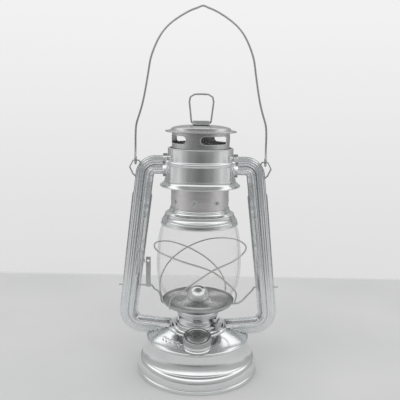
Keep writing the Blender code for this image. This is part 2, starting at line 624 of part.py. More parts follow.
def build_chimney(looks):
    radius, mouth, step = CHIMNEY_RADIUS, GLOBE_MOUTH_RADIUS, GALLERY_STEP_Z
    edge = GLOBE_TOP_Z - GALLERY_BAND - 1.0
    foot = mouth + 0.15 * (GLOBE_RADIUS - mouth) + SHEET + 0.24  # clear of the glass's swell
    gallery = [(foot, edge), (foot + 0.7, edge + 1.0), (foot + 0.7, step - 1.5),
               (mouth + 0.6, step + 0.6), (mouth - 0.2, step + 2.5), (mouth - 1.6, step + 4.7),
               (radius + 1.8, step + 7.0), (radius + 0.95, step + 8.3), (radius + 0.95, step + 10.7)]
    finish(turned(sheet(gallery, SHEET)), "globe_gallery", looks["brushed"])
    tube = [(radius, CHIMNEY_Z), (radius, CHIMNEY_TOP_Z), (radius - SHEET, CHIMNEY_TOP_Z),
            (radius - SHEET, CHIMNEY_Z)]
    tube = finish(turned(tube), "inner_chimney", looks["brushed"])
    vents = bmesh.new()
    for k in range(VENT_COUNT):
        angle = around_z(360 * k / VENT_COUNT - 10)
        hole = bmesh.ops.create_cone(vents, cap_ends=True, segments=8, radius1=VENT_RADIUS,
                                     radius2=VENT_RADIUS, depth=8)
        lay = angle @ Matrix.Translation((0, -radius, CHIMNEY_Z + 10)) @ Matrix.Rotation(math.pi / 2, 4, "X")
        bmesh.ops.transform(vents, matrix=lay, verts=hole["verts"])
    cut(tube, cutter(vents, "vent_holes"))
    seat = [(radius + GAP, SPRING_SEAT_Z), (radius + 2.2, SPRING_SEAT_Z), (radius + 2.2, SPRING_SEAT_Z + 0.8),
            (radius + GAP, SPRING_SEAT_Z + 0.8)]
    finish(turned(seat), "spring_seat", looks["brushed"])

    band, low = CAP_BAND_RADIUS, CHIMNEY_TOP_Z + GAP
    cylinder = [(radius + 0.2, low + SHEET), (band, low + SHEET), (band, CAP_BAND_TOP_Z)]
    cylinder = finish(turned(sheet(cylinder, SHEET)), "cap_band", looks["brushed"])
    slots = bmesh.new()
    for k in range(SLOT_COUNT):
        middle = 360 * (k + 0.5) / SLOT_COUNT - 90 - 15
        angles = [math.radians(middle + SLOT_SPAN * (t / 6 - 0.5)) for t in range(7)]
        edges = ((band + 4, angles), (band - 4, angles[::-1]))
        fan = [(r * math.cos(a), r * math.sin(a)) for r, edge in edges for a in edge]
        face = slots.faces.new([slots.verts.new((x, y, low + 7.5)) for x, y in fan])
        raised = bmesh.ops.extrude_face_region(slots, geom=[face])["geom"]
        raised = [part for part in raised if isinstance(part, bmesh.types.BMVert)]
        bmesh.ops.translate(slots, vec=(0, 0, SLOT_HEIGHT), verts=raised)
    cut(cylinder, cutter(slots, "cap_slots"))

    rim, top = CAP_RIM_RADIUS, CAP_TOP_Z
    brim = top - CAP_RISE
    cap = [(rim - 0.3, brim - 0.9), (rim, brim), (rim - 2.6, brim + 0.8), (band + 2.4, brim + 1.4),
           (band + 0.3, top - 2.4), (band - 6.4, top - 1.2), (band - 15, top - 0.4), (0, top)]
    finish(turned(sheet(cap, SHEET)), "cap_top", looks["brushed"])
    low, half = top + GAP + SHEET, SADDLE_LENGTH / 2
    arch = top + SADDLE_HEIGHT
    saddle = [(-half, low), (-half + 4.9, low), (-half + 7.4, arch), (half - 7.4, arch),
              (half - 4.9, low), (half, low)]
    saddle = slab(sheet(saddle, -SHEET), -SADDLE_WIDTH / 2, SADDLE_WIDTH / 2)
    finish(turn_bm(saddle, TO_YZ), "ring_saddle", looks["brushed"])

    side, reach = SADDLE_WIDTH / 2 + GAP + RING_WIRE + 0.1, RING_WIDTH / 2 - RING_WIRE / 2
    loop = [(0, 0), (side, 0), (side + 0.3, 3), (reach, 0.72 * RING_HEIGHT), (reach - 1.0, 0.9 * RING_HEIGHT),
            (reach - 5, 0.98 * RING_HEIGHT), (0, 0.99 * RING_HEIGHT)]
    loop += [(-x, z) for x, z in loop[-2::-1]]
    line = bent([(x, 0, RING_Z + z) for x, z in loop], 1.6, 3)[:-1]
    turn = frame_at("cap_ring_turn", (0, 0, RING_Z))
    hold(wire("cap_ring", line, RING_WIRE, looks["wire"], closed=True), turn)


def hood_line():
    """The hood's outer face, from its foot to the rolled edge round the cap's band."""
    return [(HOOD_RADIUS - 0.5, HOOD_Z), (HOOD_RADIUS, BEAD_Z - 2.3), (HOOD_RADIUS + HOOD_BEAD, BEAD_Z - 1.1),
            (HOOD_RADIUS + HOOD_BEAD, BEAD_Z + 0.9), (HOOD_TOP_RADIUS + 0.5, BEAD_Z + 2.3),
            (HOOD_TOP_RADIUS, HOOD_TOP_Z - 1.0), (HOOD_TOP_RADIUS - 0.6, HOOD_TOP_Z),
            (CHIMNEY_RADIUS + 1.4, HOOD_TOP_Z - 0.1)]


def build_hood(looks):
    hood = finish(turned(sheet(hood_line(), SHEET)), "hood_shell", looks["tinplate"])
    passage = rod(0.34 * TUBE_DEPTH, (-2 * HOOD_RADIUS, 0, TUBE_TOP_Z), (2 * HOOD_RADIUS, 0, TUBE_TOP_Z), 16)
    cut(hood, cutter(passage, "hood_passage"))
    collar = HOOD_RADIUS + GAP + SHEET + 0.1
    skirt = [(SKIRT_RADIUS, HOOD_Z - 4.4), (SKIRT_RADIUS - 0.2, HOOD_Z - 3.6),
             (SKIRT_RADIUS - 3.0, HOOD_Z - 1.4), (collar, HOOD_Z + 0.6),
             (collar, HOOD_Z + SKIRT_HEIGHT - 4.4)]
    finish(turned(sheet(skirt, SHEET)), "hood_skirt", looks["tinplate"])
    coil_radius = CHIMNEY_RADIUS + 1.05 + SPRING_WIRE
    low = SPRING_SEAT_Z + 0.8 + GAP + SPRING_WIRE
    high = HOOD_TOP_Z - 0.1 - SHEET - GAP - SPRING_WIRE
    count = int(SPRING_TURNS * 14)
    coil = [(coil_radius * math.cos(2 * math.pi * SPRING_TURNS * k / count),
             coil_radius * math.sin(2 * math.pi * SPRING_TURNS * k / count), low + (high - low) * k / count)
            for k in range(count + 1)]
    wire("chimney_spring", coil, SPRING_WIRE, looks["steel"])
    line = offset(hood_line(), -GAP)
    solid = [(0, line[0][1])] + [line[0]] + line[1:] + [(0, line[-1][1])]
    return cutter(turned(solid), "space_of_hood")


# side tubes and bail


def tube_section():
    """The front half's outer face in (across, depth), from its inner seam to its outer one."""
    half, deep, seam = TUBE_WIDTH / 2, TUBE_DEPTH / 2, GAP / 2 + TUBE_SHEET
    inner, outer = -half + SEAM_WIDTH, half - SEAM_WIDTH
    return [(-half, -seam), (inner, -seam), (inner + 0.4, -0.47 * deep), (inner + 2.1, -0.84 * deep),
            (inner + 4.7, -deep), (inner + 7.2, -0.87 * deep), (inner + 8.8, -0.64 * deep),
            (outer - 4.2, -0.68 * deep), (outer - 1.2, -0.56 * deep), (outer - 0.1, -seam), (half, -seam)]


def tube_route():
    """(place, across) pairs down the middle of the right tube, from inside the hood to inside the dome."""
    top, foot = TUBE_TOP_Z, TUBE_FOOT_Z
    corners = [(HOOD_RADIUS - 6, 0, top), (TUBE_TOP_SPREAD, 0, top), (TUBE_FOOT_SPREAD, 0, foot),
               (COLLAR_RADIUS + 3, 0, foot - TUBE_FOOT_FALL)]
    places = bent(corners, TUBE_BEND, 5)
    route = []
    for i, place in enumerate(places):
        on = places[min(i + 1, len(places) - 1)] - places[max(i - 1, 0)]
        share = min(1.0, max(0.0, (top - place.z) / (top - foot)))
        route.append((place, Vector((-on.z, 0, on.x)).normalized() * tube_scale(share)))
    return route


def tube_edges(height):
    """The tube's inner and outer reach from the lantern's axis, at a height on its straight leg."""
    share = (TUBE_TOP_Z - height) / (TUBE_TOP_Z - TUBE_FOOT_Z)
    middle = TUBE_TOP_SPREAD + (TUBE_FOOT_SPREAD - TUBE_TOP_SPREAD) * share
    half = TUBE_WIDTH / 2 * tube_scale(share)
    return middle - half, middle + half


def tube_scale(share):
    """The tube's width over its nominal width, at a share of the way down its leg."""
    return 1 + TUBE_TAPER * (0.3 - share)


def build_tubes(looks, under_dome, in_hood):
    front = tube_section()
    whole = front + [(u, -v) for u, v in reversed(front)]
    grown = offset(whole, -GAP, closed=True)
    hull = cutter(swept(grown, tube_route()), "space_of_right_tube")
    hull_left = cutter(turn_bm(swept(grown, tube_route()), MIRROR_X), "space_of_left_tube")
    past = tube_edges(LIFT_AXIS_Z)[1] + 2 * STUB_SHOWS
    bore = rod(LIFT_WIRE + SLIDE_GAP, (-past, 0, LIFT_AXIS_Z), (past, 0, LIFT_AXIS_Z))
    bore = cutter(bore, "lift_wire_bore")
    for side, mirror, space in (("right", Matrix.Identity(4), hull), ("left", MIRROR_X, hull_left)):
        for face, flip in (("front", Matrix.Identity(4)), ("rear", MIRROR_Y)):
            shell = turn_bm(swept(sheet(front, TUBE_SHEET), tube_route()), mirror @ flip)
            piece = finish(shell, f"{side}_tube_{face}", looks["tinplate"])
            for tool in (under_dome, in_hood, bore):
                cut(piece, tool)
        lip = offset(whole, -GAP - COLLAR_LIP, closed=True)
        lip = slab(lip, HOOD_RADIUS - 4, HOOD_RADIUS + HOOD_BEAD + 1.2)
        lay = Matrix(((0, 0, 1, 0), (0, 1, 0, 0), (1, 0, 0, TUBE_TOP_Z), (0, 0, 0, 1)))
        collar = finish(turn_bm(lip, mirror @ lay), f"{side}_hood_collar", looks["tinplate"])
        cut(cut(collar, space), in_hood)
        build_ear(side, mirror, space, looks["tinplate"])


def build_ear(side, mirror, space, look):
    """A folded strip on the tube's shoulder, through which the bail's eye is linked."""
    top, spread = bail_z(), BAIL_SPREAD
    strip = [(spread - 7.0, top - 5.6), (spread - 3.0, top), (spread + 2.2, top), (spread + 5.5, top - 6.4),
             (spread + 2.4, top - 13.0), (spread - 1.8, top - 16.5)]
    strip = offset(strip, EAR_SHEET / 2)
    ear = slab(sheet(strip, -EAR_SHEET), -EAR_WIDTH / 2, EAR_WIDTH / 2)
    cut(finish(turn_bm(ear, mirror @ TO_XZ), f"bail_ear_{side}", look), space)


def bail_z():
    return TUBE_TOP_Z + 3.8


def build_bail(looks):
    pivot, eye = bail_z(), BAIL_EYE
    turn = frame_at("bail_turn", (0, 0, pivot))
    eye_line = []
    for k in range(13):
        angle = math.radians(376 - (376 - 95) * k / 12)
        eye_line.append((1.0, -eye * math.sin(angle), eye * math.cos(angle)))
    arm = [(1.0, -eye * 0.9, 2.4), (1.0, -eye * 0.45, 6.0), (1.0, 0, 11.5)]
    bow = [(1.0, 0.163), (0.99, 0.235), (0.953, 0.288), (0.878, 0.397), (0.80, 0.588), (0.76, 0.683),
           (0.63, 0.81), (0.457, 0.893), (0.2, 0.962), (0.07, 0.982)]
    arm += [(x, 0, share * BAIL_HEIGHT) for x, share in bow]
    arm = smooth_line(arm, 2)
    half = [Vector((x * BAIL_SPREAD, y, pivot + z)) for x, y, z in eye_line + [tuple(p) for p in arm]]
    tip = Vector((0, 0, pivot + BAIL_HEIGHT))
    line = [Vector((-p.x, p.y, p.z)) for p in half] + [tip] + half[::-1]
    hold(wire("bail", line, BAIL_WIRE, looks["wire"]), turn)


def main():
    for obj in list(bpy.data.objects):
        bpy.data.objects.remove(obj)
    looks = materials()
    under_dome = build_tank(looks["tinplate"])
    build_filler_cap(looks["brushed"], looks["cork"])
    build_burner(looks)
    build_globe(looks)
    build_lift(looks)
    build_chimney(looks)
    in_hood = build_hood(looks)
    build_tubes(looks, under_dome, in_hood)
    build_bail(looks)
    bpy.context.view_layer.update()


main()
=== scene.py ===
# Barn lantern in bright tinned sheet, with a glass globe, wire guard and bail.
# Lengths in the dictionaries are millimetres; mm turns them into metres.
import json
import math

import bmesh
import bpy
from mathutils import Matrix, Vector


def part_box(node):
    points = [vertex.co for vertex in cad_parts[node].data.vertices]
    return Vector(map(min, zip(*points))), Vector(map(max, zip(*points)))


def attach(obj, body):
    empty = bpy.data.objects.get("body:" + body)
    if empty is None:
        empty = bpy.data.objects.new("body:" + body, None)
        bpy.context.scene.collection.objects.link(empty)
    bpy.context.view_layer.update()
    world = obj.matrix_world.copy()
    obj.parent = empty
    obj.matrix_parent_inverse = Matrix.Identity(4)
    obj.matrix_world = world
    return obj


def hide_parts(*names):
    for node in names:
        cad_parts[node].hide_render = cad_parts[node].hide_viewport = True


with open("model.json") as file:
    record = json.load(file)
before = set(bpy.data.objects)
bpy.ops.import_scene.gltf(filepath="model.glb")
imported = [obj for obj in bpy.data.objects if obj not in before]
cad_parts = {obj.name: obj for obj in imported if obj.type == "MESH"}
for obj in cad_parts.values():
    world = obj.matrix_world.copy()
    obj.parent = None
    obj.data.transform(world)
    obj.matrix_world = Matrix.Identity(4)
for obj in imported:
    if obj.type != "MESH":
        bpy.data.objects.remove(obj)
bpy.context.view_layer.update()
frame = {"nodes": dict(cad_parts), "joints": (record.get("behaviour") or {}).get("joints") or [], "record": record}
mm = 0.001
zAxis = Vector((0, 0, 1))
joints = {joint["name"]: joint for joint in frame["joints"]}
bodyOf = {node: body for body, nodes in frame["record"]["behaviour"]["bodies"].items() for node in nodes}
print("frame loaded:", len(frame["nodes"]), "nodes")


def low(node):
    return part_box(node)[0] / mm


def high(node):
    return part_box(node)[1] / mm


# materials

def newMaterial(name, colour, roughness, metallic=0.0):
    made = bpy.data.materials.new(name)
    made.use_nodes = True
    shader = made.node_tree.nodes["Principled BSDF"]
    shader.inputs["Base Color"].default_value = (*colour, 1)
    shader.inputs["Roughness"].default_value = roughness
    shader.inputs["Metallic"].default_value = metallic
    return made, made.node_tree, shader


def node(tree, kind, inputs=None, **settings):
    made = tree.nodes.new(kind)
    for key, value in settings.items():
        setattr(made, key, value)
    for key, value in (inputs or {}).items():
        if hasattr(value, "node"):
            tree.links.new(value, made.inputs[key])
        else:
            made.inputs[key].default_value = value
    return made


def mapRange(tree, value, fromLow, fromHigh, toLow, toHigh):
    made = node(tree, "ShaderNodeMapRange", {"Value": value, "From Min": fromLow, "From Max": fromHigh,
                                             "To Min": toLow, "To Max": toHigh})
    return made.outputs["Result"]


def mixColours(tree, factor, first, second):
    made = node(tree, "ShaderNodeMix", data_type="RGBA")
    for socket, value in ((made.inputs[0], factor), (made.inputs[6], first), (made.inputs[7], second)):
        if hasattr(value, "node"):
            tree.links.new(value, socket)
        else:
            socket.default_value = value
    return made.outputs[2]


# Sheet metal: marks is "turned" for rings round the axis, "drawn" for lines along the height,
# or "plain". ripple is how uneven the pressed sheet is.
def sheetMetal(name, colour, roughness, marks="plain", markDepth=0.1, ripple=0.15, spangle=0.05, centre=None):
    made, tree, shader = newMaterial(name, colour, roughness, 1.0)
    coordinates = node(tree, "ShaderNodeTexCoord").outputs["Object"]
    if centre:
        place, turn = centre
        inverse = turn.inverted()
        coordinates = node(tree, "ShaderNodeMapping", {"Vector": coordinates, "Location": inverse @ -place,
                                                       "Rotation": inverse.to_euler()}).outputs["Vector"]
    flat = node(tree, "ShaderNodeVectorMath", {0: coordinates, 1: (1, 1, 0)}, operation="MULTIPLY")
    radius = node(tree, "ShaderNodeVectorMath", {0: flat.outputs["Vector"]}, operation="LENGTH").outputs["Value"]
    height = node(tree, "ShaderNodeSeparateXYZ", {0: coordinates}).outputs["Z"]
    if marks == "turned":
        vector = node(tree, "ShaderNodeCombineXYZ", {"X": radius, "Y": height}).outputs["Vector"]
        streaks = node(tree, "ShaderNodeTexNoise", {"Vector": vector, "Scale": 900.0, "Detail": 3.0})
    else:
        stretch = (520, 520, 9) if marks == "drawn" else (90, 90, 90)
        vector = node(tree, "ShaderNodeMapping", {"Vector": coordinates, "Scale": stretch}).outputs["Vector"]
        streaks = node(tree, "ShaderNodeTexNoise", {"Vector": vector, "Scale": 1.0, "Detail": 3.0})
    smudge = node(tree, "ShaderNodeTexNoise", {"Vector": coordinates, "Scale": 46.0, "Detail": 5.0,
                                               "Roughness": 0.62})
    grains = node(tree, "ShaderNodeTexVoronoi", {"Vector": coordinates, "Scale": 210.0})
    grey = node(tree, "ShaderNodeSeparateColor", {"Color": grains.outputs["Color"]}).outputs["Red"]
    dull = node(tree, "ShaderNodeMath", {0: smudge.outputs["Fac"], 1: streaks.outputs["Fac"]}, operation="ADD")
    rough = mapRange(tree, dull.outputs["Value"], 0.7, 1.3, roughness * 0.72, roughness * 1.5)
    tree.links.new(rough, shader.inputs["Roughness"])
    darker = tuple(channel * 0.86 for channel in colour)
    tone = node(tree, "ShaderNodeMath", {0: grey, 1: spangle}, operation="MULTIPLY")
    stain = mapRange(tree, smudge.outputs["Fac"], 0.52, 0.8, 0.0, 0.45)
    amount = node(tree, "ShaderNodeMath", {0: tone.outputs["Value"], 1: stain}, operation="ADD")
    tree.links.new(mixColours(tree, amount.outputs["Value"], (*colour, 1), (*darker, 1)), shader.inputs["Base Color"])
    waves = node(tree, "ShaderNodeTexNoise", {"Vector": coordinates, "Scale": 34.0, "Detail": 1.0})
    dents = node(tree, "ShaderNodeBump", {"Height": waves.outputs["Fac"], "Strength": ripple, "Distance": 1.2 * mm})
    lines = node(tree, "ShaderNodeBump", {"Height": streaks.outputs["Fac"], "Strength": markDepth,
                                          "Distance": 0.12 * mm, "Normal": dents.outputs["Normal"]})
    tree.links.new(lines.outputs["Normal"], shader.inputs["Normal"])
    return made


# Thin clear glass: nearly see-through face on, and darker where it's seen edge on. That darker edge colour is painted
# shade, standing in for the dark rim real glass shows where it bends and mirrors light.
def globeGlass(name, colour, paintedEdgeShade):
    made, tree, shader = newMaterial(name, colour, 0.03)
    coordinates = node(tree, "ShaderNodeTexCoord").outputs["Object"]
    waves = node(tree, "ShaderNodeTexNoise", {"Vector": coordinates, "Scale": 22.0, "Detail": 1.0})
    bump = node(tree, "ShaderNodeBump", {"Height": waves.outputs["Fac"], "Strength": 0.1, "Distance": 1.5 * mm})
    tree.links.new(bump.outputs["Normal"], shader.inputs["Normal"])
    facing = node(tree, "ShaderNodeLayerWeight", {"Blend": 0.5}).outputs["Facing"]
    clear = node(tree, "ShaderNodeValToRGB", {"Fac": facing})
    clear.color_ramp.elements.new(0.62)
    for element, (place, value) in zip(clear.color_ramp.elements, ((0.0, 0.05), (0.72, 0.08), (0.96, 0.42))):
        element.position, element.color = place, (value, value, value, 1)
    tree.links.new(clear.outputs["Color"], shader.inputs["Alpha"])
    # painted shade: the base colour goes to the dark edge colour where the glass is seen edge on
    edge = mapRange(tree, facing, 0.55, 0.85, 0.0, 1.0)
    tree.links.new(mixColours(tree, edge, (*colour, 1), (*paintedEdgeShade, 1)), shader.inputs["Base Color"])
    return made


def wickCotton(name, tipHeight):
    made, tree, shader = newMaterial(name, (0.8, 0.77, 0.68), 0.95)
    coordinates = node(tree, "ShaderNodeTexCoord").outputs["Object"]
    weave = node(tree, "ShaderNodeTexWave", {"Vector": coordinates, "Scale": 260.0, "Distortion": 1.2},
                 bands_direction="DIAGONAL")
    height = node(tree, "ShaderNodeSeparateXYZ", {0: coordinates}).outputs["Z"]
    char = mapRange(tree, height, tipHeight - 5 * mm, tipHeight - 1.5 * mm, 0.0, 1.0)
    threads = mixColours(tree, weave.outputs["Fac"], (0.8, 0.77, 0.68, 1), (0.6, 0.56, 0.47, 1))
    tree.links.new(mixColours(tree, char, threads, (0.02, 0.018, 0.016, 1)), shader.inputs["Base Color"])
    bump = node(tree, "ShaderNodeBump", {"Height": weave.outputs["Fac"], "Strength": 0.8, "Distance": 0.3 * mm})
    tree.links.new(bump.outputs["Normal"], shader.inputs["Normal"])
    return made


def gasketRubber(name):
    made, tree, shader = newMaterial(name, (0.03, 0.03, 0.03), 0.8)
    coordinates = node(tree, "ShaderNodeTexCoord").outputs["Object"]
    grain = node(tree, "ShaderNodeTexNoise", {"Vector": coordinates, "Scale": 900.0, "Detail": 4.0})
    tree.links.new(mapRange(tree, grain.outputs["Fac"], 0.3, 0.7, 0.65, 0.9), shader.inputs["Roughness"])
    bump = node(tree, "ShaderNodeBump", {"Height": grain.outputs["Fac"], "Strength": 0.3, "Distance": 0.1 * mm})
    tree.links.new(bump.outputs["Normal"], shader.inputs["Normal"])
    return made


# The floor fades out where a straight table edge would be, a little behind the lantern.
def paleFloor(name, reach, fade):
    made, tree, shader = newMaterial(name, (0.62, 0.62, 0.62), 0.6)
    coordinates = node(tree, "ShaderNodeTexCoord").outputs["Object"]
    clouds = node(tree, "ShaderNodeTexNoise", {"Vector": coordinates, "Scale": 5.0, "Detail": 6.0})
    tone = mapRange(tree, clouds.outputs["Fac"], 0.3, 0.7, 0.0, 1.0)
    tree.links.new(mixColours(tree, tone, (0.62, 0.625, 0.625, 1), (0.7, 0.7, 0.7, 1)), shader.inputs["Base Color"])
    across = node(tree, "ShaderNodeSeparateXYZ", {0: coordinates}).outputs["Y"]
    far = node(tree, "ShaderNodeMath", {0: across}, operation="ABSOLUTE").outputs["Value"]
    tree.links.new(mapRange(tree, far, reach - fade, reach + fade, 1.0, 0.0), shader.inputs["Alpha"])
    return made


joint = joints["cap_turn"]
capPlace, capAxis = Vector(joint["pos_m"]), Vector(joint["axis"])
capTurn = zAxis.rotation_difference(capAxis).to_matrix().to_4x4()
looks = {
    "bright": sheetMetal("bright_tinplate", (0.83, 0.85, 0.85), 0.14, "turned", 0.12, 0.12),
    "tubes": sheetMetal("pressed_tinplate", (0.86, 0.88, 0.89), 0.22, "drawn", 0.02, 0.08, 0.02),
    "satin": sheetMetal("satin_tinplate", (0.7, 0.71, 0.71), 0.3, "turned", 0.3, 0.08),
    "brushed": sheetMetal("brushed_sheet", (0.82, 0.8, 0.805), 0.38, "turned", 0.6, 0.06),
    "cap": sheetMetal("cap_sheet", (0.5, 0.51, 0.51), 0.24, "turned", 0.3, 0.08, centre=(capPlace, capTurn)),
    "wire": sheetMetal("plated_wire", (0.62, 0.62, 0.61), 0.3, "drawn", 0.02, 0.0, 0.02),
    "lid": sheetMetal("lid_sheet", (0.6, 0.605, 0.6), 0.24, "turned", 0.3, 0.1),
    "plate": sheetMetal("plate_sheet", (0.5, 0.51, 0.51), 0.2, "turned", 0.5, 0.2),
    "steel": sheetMetal("spring_steel", (0.36, 0.36, 0.37), 0.32, "plain", 0.2, 0.05),
    # the globe's second colour is the painted shade at its edges
    "glass": globeGlass("globe_glass", (0.86, 0.82, 0.82), (0.3, 0.31, 0.31)),
    "cotton": wickCotton("wick_cotton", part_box("wick")[1].z),
    "rubber": gasketRubber("gasket_rubber"),
}
print("materials:", len(looks))


# making pieces

# Turns a bmesh drawn in millimetres into a piece that stands for the nodes and rides on their body.
def finishPiece(name, bm, look, nodes, wall=0.0, smooth=35, bevel=0.0, subdivide=0, stands=True):
    bmesh.ops.scale(bm, vec=(mm, mm, mm), verts=bm.verts)
    mesh = bpy.data.meshes.new(name)
    bm.to_mesh(mesh)
    bm.free()
    mesh.materials.append(looks[look])
    mesh.shade_smooth()
    mesh.set_sharp_from_angle(angle=math.radians(smooth))
    piece = bpy.data.objects.new(name, mesh)
    bpy.context.scene.collection.objects.link(piece)
    if wall:
        solid = piece.modifiers.new("wall", "SOLIDIFY")
        solid.thickness, solid.offset = wall * mm, -1
    if bevel:
        edge = piece.modifiers.new("edge", "BEVEL")
        edge.width, edge.segments, edge.angle_limit = bevel * mm, 2, math.radians(35)
        edge.harden_normals = True
    if subdivide:
        fine = piece.modifiers.new("fine", "SUBSURF")
        fine.levels = fine.render_levels = subdivide
    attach(piece, bodyOf[nodes[0]])
    if stands:
        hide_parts(*nodes)
    return piece


# A Catmull-Rom line through the points; spans is how many steps lie between two of them.
def smoothLine(points, spans=5, closed=False):
    points = [Vector(point) for point in points]
    count, line = len(points), []
    for i in range(count if closed else count - 1):
        picks = [(i + k) % count if closed else min(max(i + k, 0), count - 1) for k in (-1, 0, 1, 2)]
        a, b, c, d = (points[pick] for pick in picks)
        for k in range(spans):
            t = k / spans
            line.append(0.5 * (2 * b + (c - a) * t + (2 * a - 5 * b + 4 * c - d) * t ** 2
                               + (3 * b - a - 3 * c + d) * t ** 3))
    return line if closed else line + [points[-1]]


# A profile is a list of runs of (radius, height). Each run is a smooth curve, and they meet in corners.
def profileLine(runs, spans=5):
    line = []
    for run in runs:
        run = smoothLine(run, spans if len(run) > 2 else 1)
        line += run[1:] if line and (line[-1] - run[0]).length < 1e-6 else run
    return line


def turned(line, steps=128, closed=False):
    bm = bmesh.new()
    verts = [bm.verts.new((point[0], 0, point[1])) for point in line]
    pairs = list(zip(verts, verts[1:])) + ([(verts[-1], verts[0])] if closed else [])
    edges = [bm.edges.new(pair) for pair in pairs]
    bmesh.ops.spin(bm, geom=verts + edges, cent=(0, 0, 0), axis=(0, 0, 1), angle=2 * math.pi, steps=steps,
                   use_merge=True)
    bmesh.ops.remove_doubles(bm, verts=bm.verts, dist=1e-4)
    bmesh.ops.recalc_face_normals(bm, faces=bm.faces)
    outer = max(bm.faces, key=lambda face: math.hypot(*face.calc_center_median()[:2]) + abs(face.normal.z) * 1e-3)
    centre = outer.calc_center_median()
    if outer.normal.x * centre.x + outer.normal.y * centre.y + outer.normal.z * 1e-3 < 0:
        bmesh.ops.reverse_faces(bm, faces=bm.faces)
    return bm


# A sheet turned round the axis: runs give its outer face, and wall its thickness inwards.
def turnedSheet(name, runs, look, nodes, wall=0.6, steps=128, spans=5, smooth=35, matrix=None):
    bm = turned(profileLine(runs, spans), steps)
    if matrix:
        bmesh.ops.transform(bm, matrix=matrix, verts=bm.verts)
    return finishPiece(name, bm, look, nodes, wall, smooth)


# A merged copy of a CAD node, in millimetres.
def copyOfNode(nodeName):
    bm = bmesh.new()
    bm.from_mesh(frame["nodes"][nodeName].data)
    bmesh.ops.scale(bm, vec=(1 / mm,) * 3, verts=bm.verts)
    bmesh.ops.remove_doubles(bm, verts=bm.verts, dist=2e-3)
    bmesh.ops.dissolve_degenerate(bm, edges=bm.edges, dist=1e-3)
    return bm


# A wire: the CAD's six-sided one, rounded. The swell makes up for what the rounding takes off.
def roundWire(nodeName, radius, look="wire"):
    bm = copyOfNode(nodeName)
    bmesh.ops.join_triangles(bm, faces=bm.faces, angle_face_threshold=0.35, angle_shape_threshold=1.2,
                             cmp_seam=False, cmp_sharp=False, cmp_uvs=False, cmp_vcols=False, cmp_materials=False)
    bm.normal_update()
    for vert in bm.verts:
        vert.co += vert.normal * 0.17 * radius
    return finishPiece(nodeName + "_round", bm, look, [nodeName], smooth=180, subdivide=2)


# A small pressed or cut piece: the CAD's own solid with its edges eased.
def easedCopy(nodeName, look, bevel=0.15, smooth=35):
    bm = copyOfNode(nodeName)
    bmesh.ops.dissolve_limit(bm, angle_limit=math.radians(0.5), verts=bm.verts, edges=bm.edges,
                             use_dissolve_boundaries=False, delimit=set())
    return finishPiece(nodeName + "_eased", bm, look, [nodeName], smooth=smooth, bevel=bevel)


# A CAD node that's shown as it is, in a better finish.
def keepNode(nodeName, look):
    for place in frame["nodes"][nodeName].material_slots:
        place.material = looks[look]


# Cuts the closed bmesh, in millimetres, out of a piece and keeps the result as its mesh.
def carve(piece, bm):
    bmesh.ops.recalc_face_normals(bm, faces=bm.faces)
    bmesh.ops.scale(bm, vec=(mm, mm, mm), verts=bm.verts)
    tool = bpy.data.objects.new("tool", bpy.data.meshes.new("tool"))
    bm.to_mesh(tool.data)
    bm.free()
    bpy.context.scene.collection.objects.link(tool)
    cut = piece.modifiers.new("cut", "BOOLEAN")
    cut.operation, cut.solver, cut.object = "DIFFERENCE", "EXACT", tool
    bakeModifiers(piece)
    bpy.data.objects.remove(tool)


def bakeModifiers(piece):
    bpy.context.view_layer.update()
    evaluated = piece.evaluated_get(bpy.context.evaluated_depsgraph_get())
    fresh = bpy.data.meshes.new_from_object(evaluated)
    old, piece.data = piece.data, fresh
    piece.modifiers.clear()
    bpy.data.meshes.remove(old)
    fresh.shade_smooth()
    fresh.set_sharp_from_angle(angle=math.radians(35))


# tank

foot, shoulder, wallTop = high("tank_wall").x, high("tank_dome").x - 0.4, high("tank_wall").z
domeTop = high("tank_dome").z
tank = {
    "sheet": 0.6,
    "wall": [[(shoulder, wallTop), (shoulder + 0.1, wallTop - 5), (shoulder + 0.7, wallTop - 9),
              (shoulder + 2.0, wallTop - 12.6), (shoulder + 3.8, wallTop - 15.6), (shoulder + 4.9, wallTop - 16.8)],
             [(shoulder + 4.9, wallTop - 16.8), (shoulder + 4.5, wallTop - 17.3), (shoulder + 4.8, wallTop - 17.8)],
             [(foot - 4.6, 15.5), (foot - 2.9, 14.2), (foot - 1.3, 11.4), (foot - 0.6, 8.2), (foot - 0.6, 5.8),
              (foot - 1.0, 4.7)],
             [(foot - 1.0, 4.7), (foot - 1.5, 4.2), (foot - 1.0, 3.8)],
             [(foot - 1.0, 3.8), (foot - 0.2, 3.0), (foot, 1.6), (foot - 0.4, 0.3), (foot - 1.2, 0.0),
              (foot - 1.9, 0.5)]],
    "dome": [[(shoulder - 0.1, wallTop + 0.4), (shoulder + 0.6, wallTop + 0.6), (shoulder + 0.6, wallTop + 1.2),
              (shoulder, wallTop + 1.6), (shoulder - 0.7, wallTop + 1.3)],
             [(shoulder - 0.7, wallTop + 1.3), (shoulder - 2.2, wallTop + 2.5), (shoulder - 8.9, wallTop + 5.5),
              (shoulder - 15.8, wallTop + 7.9), (shoulder - 20.2, wallTop + 9.3)],
             [(shoulder - 20.2, wallTop + 9.3), (shoulder - 20.8, domeTop - 2.2), (shoulder - 21.4, domeTop - 1.7)],
             [(shoulder - 21.4, domeTop - 1.7), (shoulder - 22.8, domeTop - 1.3), (shoulder - 24.2, domeTop - 1.2)],
             [(shoulder - 24.2, domeTop - 1.2), (shoulder - 24.9, domeTop - 0.5), (shoulder - 25.6, domeTop)],
             [(shoulder - 25.6, domeTop), (shoulder - 32.8, domeTop)]],
    "fillerFlare": [[(11.5, -3.3), (12.1, -3.3)],
                    [(12.1, -3.3), (12.1, -4.6), (12.5, -5.1), (12.1, -5.6), (12.1, -6.6)],
                    [(12.1, -6.6), (12.5, -8.2), (13.6, -9.6), (15.4, -10.5)], [(15.4, -10.5), (16.0, -11.6)]],
}


